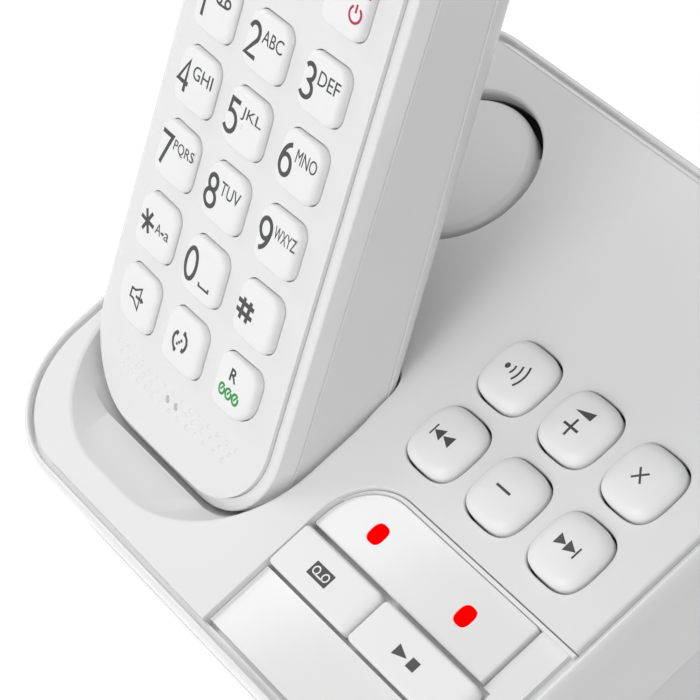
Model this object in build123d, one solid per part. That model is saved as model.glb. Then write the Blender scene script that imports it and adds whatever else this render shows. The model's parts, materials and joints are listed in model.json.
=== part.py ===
# Cordless telephone: a wedge-shaped base with an answering machine, and a handset that stands in its cradle.
# Lengths are millimetres and angles degrees. +X is right, +Y back and +Z up, and the part stands on Z = 0.
from build123d import *
import math
import os

os.makedirs("parts", exist_ok=True)

# Clearances
overrun = 40.0
slip = 0.25
seat_gap = 0.1

# Base: the flat sloping top and the wedge under it
base_width = 117.0
base_depth = 104.0
base_corner = 20.0
base_slope = 25.0
base_wall = 2.4
bezel_height = 18.0
bezel_round = 2.0
rim_bead = 1.4
rim_groove = 1.0
cover_thickness = 2.4
cover_edge_round = 0.5
ledge_reach = 3.6
ledge_thickness = 2.0
housing_inset = 0.5
housing_front_height = 4.0
housing_back_run = 2.0
housing_floor = 2.4
housing_back_corner = 14.0
seam_chamfer = 0.25

# Handset body
handset_width = 52.0
handset_length = 166.0
handset_corner = 16.0
handset_lean = 43.81
front_depth = 5.0
middle_depth = 11.4
back_depth = 4.6
handset_wall = 1.8
handset_back_round = 3.4
bezel_width = 2.9
bezel_drop = 1.2
bezel_edge_round = 2.7
bezel_ledge = 2.5
face_gap = 0.2
face_thickness = 3.0
face_crown_radius = 244.0

# Cradle in the base
cradle_side_margin = 5.4
cradle_seat_inset = 14.0
cradle_seat_depth = 5.13
cradle_clearance = 0.45
cradle_wall = 2.0
dish_margin = 1.2
dish_front_inset = 6.8
dish_length = 54.0
dish_corner = 22.5
dish_slope = 47.0

# Handset keys
key_width = 9.7
key_length = 9.8
key_corner = 2.2
key_outer_corner = 4.6
key_proud = 1.4
key_edge_round = 0.9
key_travel = 0.6
key_flange = 0.6
key_flange_thickness = 0.6
key_column_pitch = 14.0
key_row_pitch = 12.45
key_first_row_v = 22.1
call_row_step = 13.5
call_column = 14.0
navigator_size = 13.0
navigator_corner = 5.0
navigator_step = 6.6
soft_key_length = 6.4
soft_key_step = 15.6

# Display, sound and electronics of the handset
lens_width = 40.0
lens_length = 36.0
lens_corner = 4.0
lens_thickness = 1.2
lens_gap = 5.8
lens_margin = 2.5
earpiece_gap = 7.0
earpiece_radius = 7.0
earpiece_slot_length = 14.0
earpiece_slot_width = 1.6
earpiece_slot_pitch = 3.2
handset_board_depth = 7.5
handset_board_thickness = 1.2
handset_board_width = 42.0
handset_board_bottom_inset = 7.0
handset_board_top_inset = 5.0
mat_thickness = 1.0
dome_radius = 3.0
microphone_radius = 3.0
microphone_height = 2.4
microphone_inset = 10.7
ringer_radius = 9.0
ringer_height = 4.6
ringer_gap = 9.0
handset_post_radius = 2.3
handset_screw_top_inset = 19.0
handset_screw_top_spacing = 36.0
handset_screw_bottom_inset = 10.5
handset_screw_bottom_spacing = 27.0
screw_hole_radius = 1.0
screw_head_radius = 1.9
screw_head_height = 1.4
screw_grip = 6.0
screw_fit = 0.05

# Battery bay of the handset
battery_radius = 5.1
battery_length = 44.0
battery_pitch = 12.4
battery_offset = 3.0
battery_contact_width = 7.0
battery_contact_thickness = 0.8
bay_rib_thickness = 1.6
door_width = 37.6
door_length = 70.0
door_corner = 4.0
door_thickness = 1.7
door_bottom_inset = 52.0
door_travel = 8.0
door_ledge = 2.0
door_pad_margin = 2.0
door_grip_length = 16.0
door_grip_width = 1.0
door_grip_height = 0.5
door_grip_pitch = 2.6
door_grip_rows = 4

# Charging contacts
contact_spacing = 18.0
contact_size = 3.0
contact_proud = 0.15
contact_depth_w = 10.7
contact_tail = 1.1
handset_contact_size = 4.0

# Base keys
base_key_size = 11.3
base_key_corner = 4.0
base_key_proud = 1.8
base_key_round = 1.5
base_key_gap = 0.35
base_key_travel = 0.8
base_key_pitch_x = 14.73
base_key_pitch_y = 14.4
base_key_grid_offset = 0.5
base_key_row_gap = 4.45

# Front recess of the base top: lamp strip, two long keys and a trim strip
recess_cradle_gap = 7.6
recess_depth = 3.2
recess_floor = 2.2
recess_corner = 6.0
strip_height = 2.0
strip_gap = 0.3
strip_edge_round = 0.5
lamp_strip_width = 42.4
lamp_strip_depth = 11.9
long_key_depth = 8.7
long_key_proud = 0.5
long_key_thickness = 1.6
answer_key_width = 20.0
play_key_width = 23.0
long_key_gap = 0.6
key_stem_width = 10.0
key_stem_depth = 4.0
trim_strip_depth = 10.8
trim_front_gap = 0.9
lamp_width = 3.3
lamp_depth = 2.6
lamp_left_inset = 10.3
lamp_right_inset = 10.4
lamp_offset = 0.65
lamp_proud = 0.15

# Sound outlet, boards and sockets of the base
outlet_back_inset = 23.3
outlet_hole_radius = 14.5
outlet_cap_radius = 12.3
outlet_flange = 1.6
outlet_flange_thickness = 1.6
outlet_cap_round = 0.8
speaker_radius = 13.0
speaker_height = 8.0
base_board_depth = 9.0
base_board_thickness = 1.6
base_board_width = 46.0
base_board_length = 76.0
base_board_offset = 0.5
base_board_front_margin = 5.05
board_post_radius = 2.5
board_post_inset = 4.0
base_mat_margin = 4.0
base_mat_thickness = 1.0
base_dome_radius = 3.2
line_jack_width = 14.0
line_jack_height = 13.0
line_jack_depth = 15.0
line_jack_inset = 40.5
line_socket_width = 9.7
line_socket_height = 6.7
line_socket_depth = 12.0
power_jack_width = 11.0
power_jack_height = 11.0
power_jack_depth = 14.0
power_jack_inset = 20.5
power_socket_radius = 2.9
power_socket_depth = 10.0
power_pin_radius = 1.0
foot_radius = 5.0
foot_height = 1.0
foot_seat = 0.6
foot_side_inset = 12.0
foot_front_inset = 20.0
foot_back_inset = 12.0
base_screw_front_side_inset = 8.9
base_screw_front_inset = 16.13
base_screw_back_side_inset = 5.1
base_screw_back_inset = 21.48
base_boss_radius = 3.0
base_boss_height = 7.0
tower_radius = 4.0
tower_web = 2.6
base_screw_radius = 1.2
base_screw_grip = 5.0
base_head_radius = 2.5
base_head_height = 2.0

# Values worked out from the sizes above
slope_sine = math.sin(math.radians(base_slope))
slope_cosine = math.cos(math.radians(base_slope))
rim_width = rim_bead + rim_groove
cover_width = base_width - 2 * rim_width
cover_depth = base_depth - 2 * rim_width
cover_corner = base_corner - rim_width
front_edge_depth = bezel_height + housing_front_height
slab_height = base_depth / 2 * slope_sine + front_edge_depth * slope_cosine + foot_height
handset_depth = front_depth + middle_depth + back_depth
middle_face = -front_depth - middle_depth
back_inside = -handset_depth + handset_wall
inner_width = handset_width - 2 * handset_wall
back_wall_y = (base_depth / 2 - housing_inset) * slope_cosine + bezel_height * slope_sine + housing_back_run

# Places on the sloping top of the base
strip_top = strip_height - recess_depth
cradle_x = -base_width / 2 + cradle_side_margin + handset_width / 2
cradle_seat_y = -base_depth / 2 + cradle_seat_inset
recess_left_x = cradle_x + handset_width / 2 + recess_cradle_gap
strip_left = recess_left_x + strip_gap
trim_strip_y = -cover_depth / 2 + trim_front_gap + trim_strip_depth / 2
trim_strip_width = cover_width / 2 - strip_left - strip_gap
long_key_y = trim_strip_y + trim_strip_depth / 2 + long_key_gap + long_key_depth / 2
lamp_strip_y = long_key_y + long_key_depth / 2 + long_key_gap + lamp_strip_depth / 2
recess_back_y = lamp_strip_y + lamp_strip_depth / 2 + strip_gap
lamp_y = lamp_strip_y - lamp_offset
lamp_places = (strip_left + lamp_left_inset, strip_left + lamp_strip_width - lamp_right_inset)
base_key_grid_x = strip_left + lamp_strip_width / 2 + base_key_grid_offset
base_key_grid_y = recess_back_y + base_key_row_gap + (base_key_size + base_key_pitch_y) / 2
base_board_x = base_key_grid_x + base_board_offset
base_board_y = long_key_y - base_board_front_margin + base_board_length / 2
outlet_y = base_depth / 2 - outlet_back_inset
line_jack_x = base_width / 2 - line_jack_inset
power_jack_x = base_width / 2 - power_jack_inset

# Dial rows of the handset, from the lowest up
key_rows = (
    ("speaker_key", "intercom_key", "recall_key"),
    ("star_key", "digit_0_key", "hash_key"),
    ("digit_7_key", "digit_8_key", "digit_9_key"),
    ("digit_4_key", "digit_5_key", "digit_6_key"),
    ("digit_1_key", "digit_2_key", "digit_3_key"),
)

# Places along the handset, from its bottom end
call_row_v = key_first_row_v + (len(key_rows) - 1) * key_row_pitch + call_row_step
navigator_v = call_row_v + navigator_step
soft_key_v = call_row_v + soft_key_step
lens_v = soft_key_v + soft_key_length / 2 + lens_gap + lens_length / 2
earpiece_v = lens_v + lens_length / 2 + earpiece_gap
battery_v = door_bottom_inset + door_length / 2 - battery_offset
ringer_v = door_bottom_inset + door_length + ringer_gap + ringer_radius

# Frames: the sloping top of the base, and the handset that leans on it
slab = Location((0, 0, slab_height), (base_slope, 0, 0))
cradle = Location((cradle_x, cradle_seat_y, -cradle_seat_depth), (handset_lean, 0, 0))
handset = slab * cradle


def block(width, length, low, high, x=0, y=0):
    """Box on the plane between two heights."""
    return Pos(x, y, (low + high) / 2) * Box(width, length, high - low)


def slab_block(width, length, radius, low, high, x=0, y=0):
    """Rounded rectangle extruded between two heights."""
    return Pos(x, y, low) * extrude(RectangleRounded(width, length, radius), high - low)


def disc(radius, low, high, x=0, y=0):
    """Upright cylinder between two heights."""
    return Pos(x, y, (low + high) / 2) * Cylinder(radius, high - low)


def rounded_top(shape, radius):
    """Shape with its highest edges rounded."""
    return fillet(shape.edges().group_by(Axis.Z)[-1], radius)


def rounded_bottom(shape, radius):
    """Shape with its lowest edges rounded."""
    return fillet(shape.edges().group_by(Axis.Z)[0], radius)


def base_layer(inset, low, high):
    """Layer of the base, its outline drawn in by an inset."""
    return slab_block(base_width - 2 * inset, base_depth - 2 * inset, base_corner - inset, low, high)


def handset_layer(inset, low, high):
    """Layer of the handset, its outline drawn in by an inset, with the bottom end at V = inset."""
    return slab_block(
        handset_width - 2 * inset,
        handset_length - 2 * inset,
        handset_corner - inset,
        low,
        high,
        y=handset_length / 2,
    )


def crowned(shape):
    """Shape cut to the gently crowned face of the handset."""
    crown = Cylinder(face_crown_radius, handset_length + overrun, rotation=(90, 0, 0))
    return shape & (Pos(0, handset_length / 2, -face_crown_radius) * crown)


def face_drop(u):
    """How far the crowned face lies below its middle line."""
    return face_crown_radius - math.sqrt(face_crown_radius**2 - u**2)


# Handset keys: place across and along the handset, width, length, corner, side of a rounder lower corner
column_shares = (-1, 0, 1)
handset_keys = {}
for row, names in enumerate(key_rows):
    for share, name in zip(column_shares, names):
        outer = share if row == 0 else 0
        place = (share * key_column_pitch, key_first_row_v + row * key_row_pitch)
        handset_keys[name] = (place, key_width, key_length, key_corner, outer)
handset_keys["talk_key"] = ((-call_column, call_row_v), key_width, key_length, key_corner, 0)
handset_keys["off_key"] = ((call_column, call_row_v), key_width, key_length, key_corner, 0)
handset_keys["navigator_key"] = ((0, navigator_v), navigator_size, navigator_size, navigator_corner, 0)
handset_keys["left_soft_key"] = ((-call_column, soft_key_v), key_width, soft_key_length, key_corner, 0)
handset_keys["right_soft_key"] = ((call_column, soft_key_v), key_width, soft_key_length, key_corner, 0)

# Base keys: column and row shares of the grid pitch
base_key_shares = {
    "skip_back_key": (-1, -0.5),
    "volume_down_key": (0, -0.5),
    "skip_forward_key": (1, -0.5),
    "locator_key": (-1, 0.5),
    "volume_up_key": (0, 0.5),
    "erase_key": (1, 0.5),
}
base_keys = {}
for name, (column, row) in base_key_shares.items():
    base_keys[name] = (base_key_grid_x + column * base_key_pitch_x, base_key_grid_y + row * base_key_pitch_y)

# Long keys of the front recess: middle, width
answer_key_x = strip_left + answer_key_width / 2
play_key_x = strip_left + answer_key_width + long_key_gap + play_key_width / 2
long_keys = {"answer_key": (answer_key_x, answer_key_width), "play_key": (play_key_x, play_key_width)}

# Upright screws of the base: places on the plan
screw_front_y = base_screw_front_inset - base_depth / 2 * slope_cosine
screw_back_y = back_wall_y - base_screw_back_inset
base_screw_front = base_width / 2 - base_screw_front_side_inset, screw_front_y
base_screw_back = base_width / 2 - base_screw_back_side_inset, screw_back_y
base_screw_places = [(side * x, y) for side in (-1, 1) for x, y in (base_screw_front, base_screw_back)]

# Screws and posts of the handset
handset_screw_rows = (
    (handset_screw_bottom_spacing, handset_screw_bottom_inset),
    (handset_screw_top_spacing, handset_length - handset_screw_top_inset),
)
handset_screw_places = [(side * spacing / 2, v) for spacing, v in handset_screw_rows for side in (-1, 1)]
contact_places = (-contact_spacing / 2, contact_spacing / 2)


# Base shells

def base_bezel():
    """Upper side wall of the base with the raised rim round the top and a ledge under the cover."""
    ring = rounded_top(base_layer(0, -bezel_height, 0), bezel_round)
    ring -= base_layer(rim_bead, -cover_thickness, overrun)
    ring -= base_layer(rim_width + ledge_reach, -overrun, overrun)
    ring -= base_layer(base_wall, -bezel_height - overrun, -cover_thickness - ledge_thickness)
    # The ledge stops where the cradle and the front recess reach the wall
    side = base_layer(base_wall, -cover_thickness - ledge_thickness, -cover_thickness)
    front = block(base_width, base_depth, -overrun, overrun, y=-base_depth / 2)
    front = front & base_layer(base_wall, -overrun, -cover_thickness)
    ring -= front & side
    ring = chamfer(ring.edges().group_by(Axis.Z)[0], seam_chamfer)
    ring = slab * ring
    inside = slab * base_layer(base_wall / 2, -bezel_height - overrun, 0)
    for x, y in base_screw_places:
        low = seam_height(y)
        high = low + base_boss_height
        ring += disc(base_boss_radius, low, high, x, y) & inside
        ring -= disc(base_screw_radius + screw_fit, low - overrun, high - base_wall / 2, x, y)
    return ring


def seam_height(y):
    """Height of the seam between bezel and housing at the lower side of a screw boss."""
    slab_y = (y - base_boss_radius - bezel_height * slope_sine) / slope_cosine
    return slab_height + slab_y * slope_sine - bezel_height * slope_cosine


def cradle_space(clearance):
    """Space round the lower end of the standing handset, with the sloping dish in front of it."""
    pocket = handset_layer(-clearance, -handset_depth - clearance, clearance)
    pocket = cradle * rounded_bottom(pocket, handset_back_round)
    grow = clearance - cradle_clearance
    width = handset_width + 2 * (dish_margin + grow)
    outline = RectangleRounded(width, dish_length + 2 * grow, dish_corner + grow)
    place = Pos(cradle_x, -base_depth / 2 + dish_front_inset + dish_length / 2, 0)
    dish = place * extrude(outline, -cradle_seat_depth - clearance, taper=dish_slope)
    # The dish ends at the back of the standing handset
    lean = math.radians(handset_lean)
    back_y = cradle_seat_y + cradle_seat_depth / math.tan(lean) + (handset_depth + clearance) / math.sin(lean)
    back_cut = block(base_width, base_depth, -overrun, overrun, y=back_y + base_depth / 2)
    return pocket, dish - back_cut


def base_top_cover():
    """Flat top panel with the cradle tray, the front recess, key holes and the sound outlet."""
    below = block(base_width, base_depth, -overrun, -cover_thickness / 2)
    cover = slab_block(cover_width, cover_depth, cover_corner, -cover_thickness, 0)
    cover = rounded_top(cover, cover_edge_round)
    pocket, dish = cradle_space(cradle_clearance)
    tray, dish_shell = cradle_space(cradle_clearance + cradle_wall)
    cover += tray & below
    cover += dish_shell & below
    recess_width = cover_width / 2 - recess_left_x
    recess_length = recess_back_y + cover_depth / 2
    recess_x = recess_left_x + recess_width / 2
    recess_y = recess_back_y - recess_length / 2
    shell_low = -recess_depth - recess_floor
    shell = block(
        recess_width + cradle_wall, recess_length + cradle_wall, shell_low, -cover_thickness / 2,
        recess_x - cradle_wall / 2, recess_y + cradle_wall / 2,
    )
    cover += shell & slab_block(cover_width, cover_depth, cover_corner, -overrun, 0)
    spare = 2 * recess_corner
    hollow = slab_block(
        recess_width + spare, recess_length + spare, recess_corner, -recess_depth, overrun,
        recess_x + recess_corner, recess_y - recess_corner,
    )
    cover -= hollow
    cover -= pocket
    cover -= dish
    cover -= disc(outlet_hole_radius, -overrun, overrun, cradle_x, outlet_y)
    hole = base_key_size + 2 * base_key_gap
    for x, y in base_keys.values():
        cover -= slab_block(hole, hole, base_key_corner + base_key_gap, -overrun, overrun, x, y)
    for x, width in long_keys.values():
        cover -= block(
            key_stem_width + 2 * slip, key_stem_depth + 2 * slip, -overrun, overrun, x, long_key_y
        )
    for x in lamp_places:
        lamp_hole = extrude(Ellipse(lamp_width / 2 + slip, lamp_depth / 2 + slip), 2 * overrun)
        cover -= Pos(x, lamp_y, -overrun) * lamp_hole
    for place in contact_places:
        cover -= cradle * contact_slot(contact_size + 2 * seat_gap, place)
    for x, y in board_posts():
        cover += disc(board_post_radius, -base_board_depth, -cover_thickness, x, y)
    return cover


def contact_slot(size, u):
    """Square hole along the handset's length for one charging contact."""
    return Pos(u, 0, -contact_depth_w) * Box(size, 2 * overrun, size)


def board_posts():
    """Places of the posts that carry the base board, clear of the keys and the recess."""
    half_width = base_board_width / 2 - board_post_inset
    back = base_board_y + base_board_length / 2 - board_post_inset
    middle = base_key_grid_y + base_key_pitch_y + base_key_size / 2
    return [(base_board_x + side * half_width, y) for side in (-1, 1) for y in (middle, back)]


def base_lower_housing():
    """Wedge-shaped lower shell with a flat floor, screw towers, foot seats and socket openings."""
    back_y = back_wall_y
    outer = slab * base_layer(housing_inset, -slab_height - base_depth, -bezel_height)
    inner = slab * base_layer(housing_inset + base_wall, -slab_height - base_depth, -bezel_height + overrun)
    size = 2 * (base_depth + base_width)
    above = housing_plan(0, foot_height)
    inside = housing_plan(base_wall, foot_height + housing_floor)
    wedge = outer & above
    housing = wedge - (inner & inside)
    for x, y in base_screw_places:
        housing += disc(tower_radius, foot_height, seam_height(y), x, y) & wedge
    for x, y in base_screw_places:
        head_seat = seam_height(y) - tower_web
        housing -= disc(base_screw_radius + slip, -overrun, seam_height(y) + overrun, x, y)
        housing -= disc(base_head_radius + slip, -overrun, head_seat, x, y)
        # Room for the boss of the bezel
        housing -= disc(base_boss_radius + slip, seam_height(y), seam_height(y) + overrun, x, y)
    for x, y in foot_places():
        housing -= disc(foot_radius + seat_gap, -overrun, foot_height + foot_seat, x, y)
    floor_top = foot_height + housing_floor
    for x, width, height in (
        (line_jack_x, line_jack_width, line_jack_height),
        (power_jack_x, power_jack_width, power_jack_height),
    ):
        top = floor_top + height + seat_gap
        opening = block(width + 2 * seat_gap, 2 * overrun, floor_top, top, x, back_y)
        housing -= opening & (Pos(0, back_y - base_wall, 0) * Box(size, 2 * (base_wall + overrun), size))
    return housing


def housing_plan(inset, low):
    """Upright prism with the plan of the lower housing, open to the front."""
    width = base_width - 2 * housing_inset - 2 * inset
    corner = housing_back_corner - inset
    middle_y = back_wall_y - inset - base_depth
    return slab_block(width, 2 * base_depth, corner, low, low + 2 * base_depth, y=middle_y)


def foot_places():
    """Middles of the four rubber feet under the floor."""
    side = base_width / 2 - foot_side_inset
    front_edge = -base_depth / 2 * slope_cosine + front_edge_depth * slope_sine
    front = front_edge + foot_front_inset
    back = back_wall_y - foot_back_inset
    return [(x, y) for x in (-side, side) for y in (front, back)]


def rubber_feet():
    """Four round feet pressed into the floor."""
    return [disc(foot_radius, 0, foot_height + foot_seat, x, y) for x, y in foot_places()]


# Base keys, lamps and sound outlet

def base_key(x, y):
    """Pillow-shaped key with a flange under the cover."""
    top = -cover_thickness - seat_gap
    cap = slab_block(base_key_size, base_key_size, base_key_corner, top, base_key_proud, x, y)
    cap = rounded_top(cap, base_key_round)
    size = base_key_size + 2 * (key_flange + base_key_gap)
    corner = base_key_corner + key_flange + base_key_gap
    return cap + slab_block(size, size, corner, top - key_flange_thickness, top, x, y)


def long_key(x, width):
    """Flat key of the front recess with a stem through the recess floor."""
    top = strip_top + long_key_proud
    cap = block(width, long_key_depth, top - long_key_thickness, top, x, long_key_y)
    cap = fillet(cap.edges().group_by(Axis.Z)[-1], strip_edge_round)
    stem_low = -recess_depth - recess_floor - long_key_thickness
    return cap + block(key_stem_width, key_stem_depth, stem_low, top - long_key_thickness, x, long_key_y)


def lamp_strip():
    """Strip that holds the two lamps, with one rounded back corner."""
    x = strip_left + lamp_strip_width / 2
    low = -recess_depth
    strip = block(lamp_strip_width, lamp_strip_depth, low, strip_top, x, lamp_strip_y)
    corner = strip.edges().filter_by(Axis.Z).sort_by(Axis.X)[:2].sort_by(Axis.Y)[-1]
    strip = fillet(corner, recess_corner - strip_gap)
    strip = rounded_top(strip, strip_edge_round)
    for place in lamp_places:
        strip -= Pos(place, lamp_y, -overrun) * extrude(
            Ellipse(lamp_width / 2 + seat_gap, lamp_depth / 2 + seat_gap), 2 * overrun
        )
    return strip


def indicator_lamps():
    """Two oval light guides standing on the board."""
    top = strip_top + lamp_proud
    guide = extrude(Ellipse(lamp_width / 2, lamp_depth / 2), top + base_board_depth)
    return [Pos(x, lamp_y, -base_board_depth) * rounded_top(guide, lamp_proud) for x in lamp_places]


def trim_strip():
    """Trim strip along the front edge, cut to the cover's corner."""
    low = -recess_depth
    x = strip_left + trim_strip_width / 2
    strip = block(trim_strip_width, trim_strip_depth, low, strip_top, x, trim_strip_y)
    inset = rim_width + strip_gap
    strip = strip & base_layer(inset, -overrun, overrun)
    return rounded_top(strip, strip_edge_round)


def speaker_cap():
    """Round cap over the loudspeaker, with an open ring of sound slot round it."""
    cap = rounded_top(disc(outlet_cap_radius, -cover_thickness, 0, cradle_x, outlet_y), outlet_cap_round)
    low = -cover_thickness - outlet_flange_thickness
    return cap + disc(outlet_hole_radius + outlet_flange, low, -cover_thickness, cradle_x, outlet_y)


def base_loudspeaker():
    """Loudspeaker with a basket and a smaller magnet, fixed under the cap."""
    top = -cover_thickness - outlet_flange_thickness
    middle = top - speaker_height / 2
    basket = disc(speaker_radius, middle, top, cradle_x, outlet_y)
    return basket + disc(speaker_radius / 2, top - speaker_height, middle, cradle_x, outlet_y)


def base_circuit_board():
    """Board under the keys."""
    low = -base_board_depth - base_board_thickness
    return block(base_board_width, base_board_length, low, -base_board_depth, base_board_x, base_board_y)


def base_keypad_mat():
    """Rubber mat on the board with a dome under every key."""
    low = -base_board_depth
    top = low + base_mat_thickness
    front = long_key_y - base_dome_radius - base_mat_margin
    back = base_key_grid_y + base_key_pitch_y / 2 + base_key_size / 2
    width = 2 * base_key_pitch_x + base_key_size
    mat = block(width, back - front, low, top, base_key_grid_x, (front + back) / 2)
    for x in lamp_places:
        mat -= disc(lamp_width, -overrun, overrun, x, lamp_y)
    dome_top = -cover_thickness - 2 * seat_gap - key_flange_thickness - base_key_travel
    for x, y in base_keys.values():
        mat += disc(base_dome_radius, low, dome_top, x, y)
    stem_low = -recess_depth - recess_floor - long_key_thickness
    for x, width in long_keys.values():
        mat += disc(base_dome_radius / 2, low, stem_low - base_key_travel - seat_gap, x, long_key_y)
    return mat


def base_charge_contacts():
    """Two contact blades that stand through the tray floor."""
    length = cradle_wall + contact_proud + contact_tail
    middle = -cradle_clearance + contact_proud - length / 2
    blade = Box(contact_size, length, contact_size)
    return [Pos(u, middle, -contact_depth_w) * blade for u in contact_places]


# Sockets at the back, in the upright frame of the part

def line_jack():
    """Telephone line socket, open to the back."""
    floor_top = foot_height + housing_floor
    middle_y = back_wall_y - line_jack_depth / 2
    top = floor_top + line_jack_height
    body = block(line_jack_width, line_jack_depth, floor_top, top, line_jack_x, middle_y)
    socket_y = back_wall_y - line_socket_depth / 2 + overrun / 2
    low = floor_top + (line_jack_height - line_socket_height) / 2
    return body - block(
        line_socket_width, line_socket_depth + overrun, low, low + line_socket_height, line_jack_x, socket_y
    )


def power_jack():
    """Round power socket with its pin, open to the back."""
    floor_top = foot_height + housing_floor
    middle_y = back_wall_y - power_jack_depth / 2
    top = floor_top + power_jack_height
    body = block(power_jack_width, power_jack_depth, floor_top, top, power_jack_x, middle_y)
    height = floor_top + power_jack_height / 2
    bore = Cylinder(power_socket_radius, power_socket_depth, rotation=(90, 0, 0))
    pin = Cylinder(power_pin_radius, power_socket_depth, rotation=(90, 0, 0))
    place = Pos(power_jack_x, back_wall_y - power_socket_depth / 2, height)
    return body - place * bore + place * pin


def base_screws():
    """Four screws that hold the lower housing to the bezel."""
    screws = []
    for x, y in base_screw_places:
        head_top = seam_height(y) - tower_web
        shank = disc(base_screw_radius, head_top, seam_height(y) + base_screw_grip, x, y)
        screws.append(shank + disc(base_head_radius, head_top - base_head_height, head_top, x, y))
    return screws


# Handset shells

def handset_bezel():
    """Glossy rim round the face with a ledge that carries the face panel."""
    ring = rounded_top(handset_layer(0, -front_depth, -bezel_drop), bezel_edge_round)
    ring -= handset_layer(bezel_width, -face_thickness, overrun)
    ring -= handset_layer(bezel_width + bezel_ledge, -overrun, overrun)
    return chamfer(ring.edges().group_by(Axis.Z)[0], seam_chamfer)


def handset_front_shell():
    """Crowned face panel with key holes, the display window, sound slots and screw posts."""
    panel = crowned(handset_layer(bezel_width + face_gap, -face_thickness, 0))
    for (u, v), width, length, corner, outer in handset_keys.values():
        panel -= Pos(u, v, -overrun) * extrude(key_outline(width, length, corner, outer, slip), 2 * overrun)
    lens_hole = slab_block(
        lens_width + 2 * seat_gap, lens_length + 2 * seat_gap, lens_corner + seat_gap,
        -face_drop(lens_width / 2) - lens_thickness, overrun, y=lens_v,
    )
    panel -= lens_hole
    window = lens_width - 2 * lens_margin, lens_length - 2 * lens_margin
    panel -= slab_block(*window, lens_corner - lens_margin, -overrun, overrun, y=lens_v)
    for share in (-1, 0, 1):
        v = earpiece_v + share * earpiece_slot_pitch
        slot = SlotOverall(earpiece_slot_length, earpiece_slot_width)
        panel -= Pos(0, v, -overrun) * extrude(slot, 2 * overrun)
    for u, v in handset_screw_places:
        panel += disc(handset_post_radius, middle_face + seat_gap, -face_thickness, u, v)
        panel -= disc(screw_hole_radius + screw_fit, -overrun, -face_thickness - handset_wall, u, v)
    return panel


def handset_rear_shell():
    """Middle side wall with the two ribs that hold the battery contacts."""
    ring = handset_layer(0, middle_face, -front_depth)
    ring -= handset_layer(handset_wall, -overrun, overrun)
    ring = chamfer(ring.edges().group_by(Axis.Z)[0] + ring.edges().group_by(Axis.Z)[-1], seam_chamfer)
    board_low = -handset_board_depth - handset_board_thickness
    reach = battery_length / 2 + battery_contact_thickness + bay_rib_thickness / 2
    for v in (battery_v - reach, battery_v + reach):
        ring += block(inner_width + handset_wall, bay_rib_thickness, middle_face, board_low - seat_gap, y=v)
    for u in contact_places:
        hole = contact_slot(handset_contact_size + 2 * seat_gap, u)
        ring -= hole & block(handset_width, handset_corner, -overrun, overrun)
    return ring


def handset_back_cover():
    """Rounded back with a seat for the battery door and four screw holes."""
    cover = rounded_bottom(handset_layer(0, -handset_depth, middle_face), handset_back_round)
    cover -= handset_layer(handset_wall, back_inside, overrun)
    cover = chamfer(cover.edges().group_by(Axis.Z)[-1], seam_chamfer)
    seat_low = door_bottom_inset - door_travel - slip
    seat_high = door_bottom_inset + door_length + slip
    seat_width = door_width + 2 * slip
    seat_floor = -handset_depth + door_thickness + seat_gap
    middle = (seat_low + seat_high) / 2
    pad_width = seat_width + 2 * door_pad_margin
    pad_length = seat_high - seat_low + 2 * door_pad_margin
    cover += block(pad_width, pad_length, -handset_depth + handset_wall, seat_floor + handset_wall, y=middle)
    cover -= slab_block(seat_width, seat_high - seat_low, door_corner + slip, -overrun, seat_floor, y=middle)
    opening_length = door_length - 2 * door_ledge
    opening_v = door_bottom_inset + door_length / 2
    cover -= block(door_width - 2 * door_ledge, opening_length, -overrun, overrun, y=opening_v)
    for u, v in handset_screw_places:
        head_seat = -handset_depth + screw_head_height + handset_wall
        cover += disc(handset_post_radius + handset_wall, -handset_depth + handset_wall, middle_face, u, v)
        cover -= disc(screw_hole_radius + slip, -overrun, overrun, u, v)
        cover -= disc(screw_head_radius + slip, -overrun, head_seat, u, v)
    return cover


def battery_door():
    """Sliding battery door with grip ribs near its upper end."""
    middle = door_bottom_inset + door_length / 2
    low = -handset_depth
    door = slab_block(door_width, door_length, door_corner, low, low + door_thickness, y=middle)
    door = rounded_bottom(door, door_grip_height)
    for row in range(door_grip_rows):
        v = door_bottom_inset + door_length - door_corner - (row + 1) * door_grip_pitch
        door += block(door_grip_length, door_grip_width, low - door_grip_height, low, y=v)
    return door


def key_outline(width, length, corner, outer, grow):
    """Face of a key, with a rounder lower corner on the outer keys of the bottom row."""
    face = Rectangle(width + 2 * grow, length + 2 * grow)
    low_corners = face.vertices().group_by(Axis.Y)[0].sort_by(Axis.X)
    if outer == 0:
        return fillet(face.vertices(), corner + grow)
    chosen = low_corners[0] if outer < 0 else low_corners[-1]
    rest = [vertex for vertex in face.vertices() if (vertex.center() - chosen.center()).length > corner]
    face = fillet(rest, corner + grow)
    low_corners = face.vertices().group_by(Axis.Y)[0].sort_by(Axis.X)
    chosen = low_corners[0] if outer < 0 else low_corners[-1]
    return fillet(chosen, key_outer_corner + grow)


def handset_key(place, width, length, corner, outer):
    """Key cap with a flange that holds it under the face panel."""
    u, v = place
    top = key_proud - face_drop(u)
    low = -face_thickness - seat_gap
    cap = extrude(key_outline(width, length, corner, outer, 0), top - low)
    cap = Pos(u, v, low) * rounded_top(cap, key_edge_round)
    flange = extrude(key_outline(width, length, corner, outer, key_flange), key_flange_thickness)
    return cap + Pos(u, v, low - key_flange_thickness) * flange


# Inside the handset

def display_lens():
    """Clear window flush with the crowned face."""
    low = -face_drop(lens_width / 2) - lens_thickness
    return crowned(slab_block(lens_width, lens_length, lens_corner, low, 0, y=lens_v))


def display_module():
    """Display between the window and the board."""
    width = lens_width - 2 * lens_margin
    length = lens_length - 2 * lens_margin
    return block(width, length, -handset_board_depth, -face_thickness - seat_gap, y=lens_v)


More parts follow.
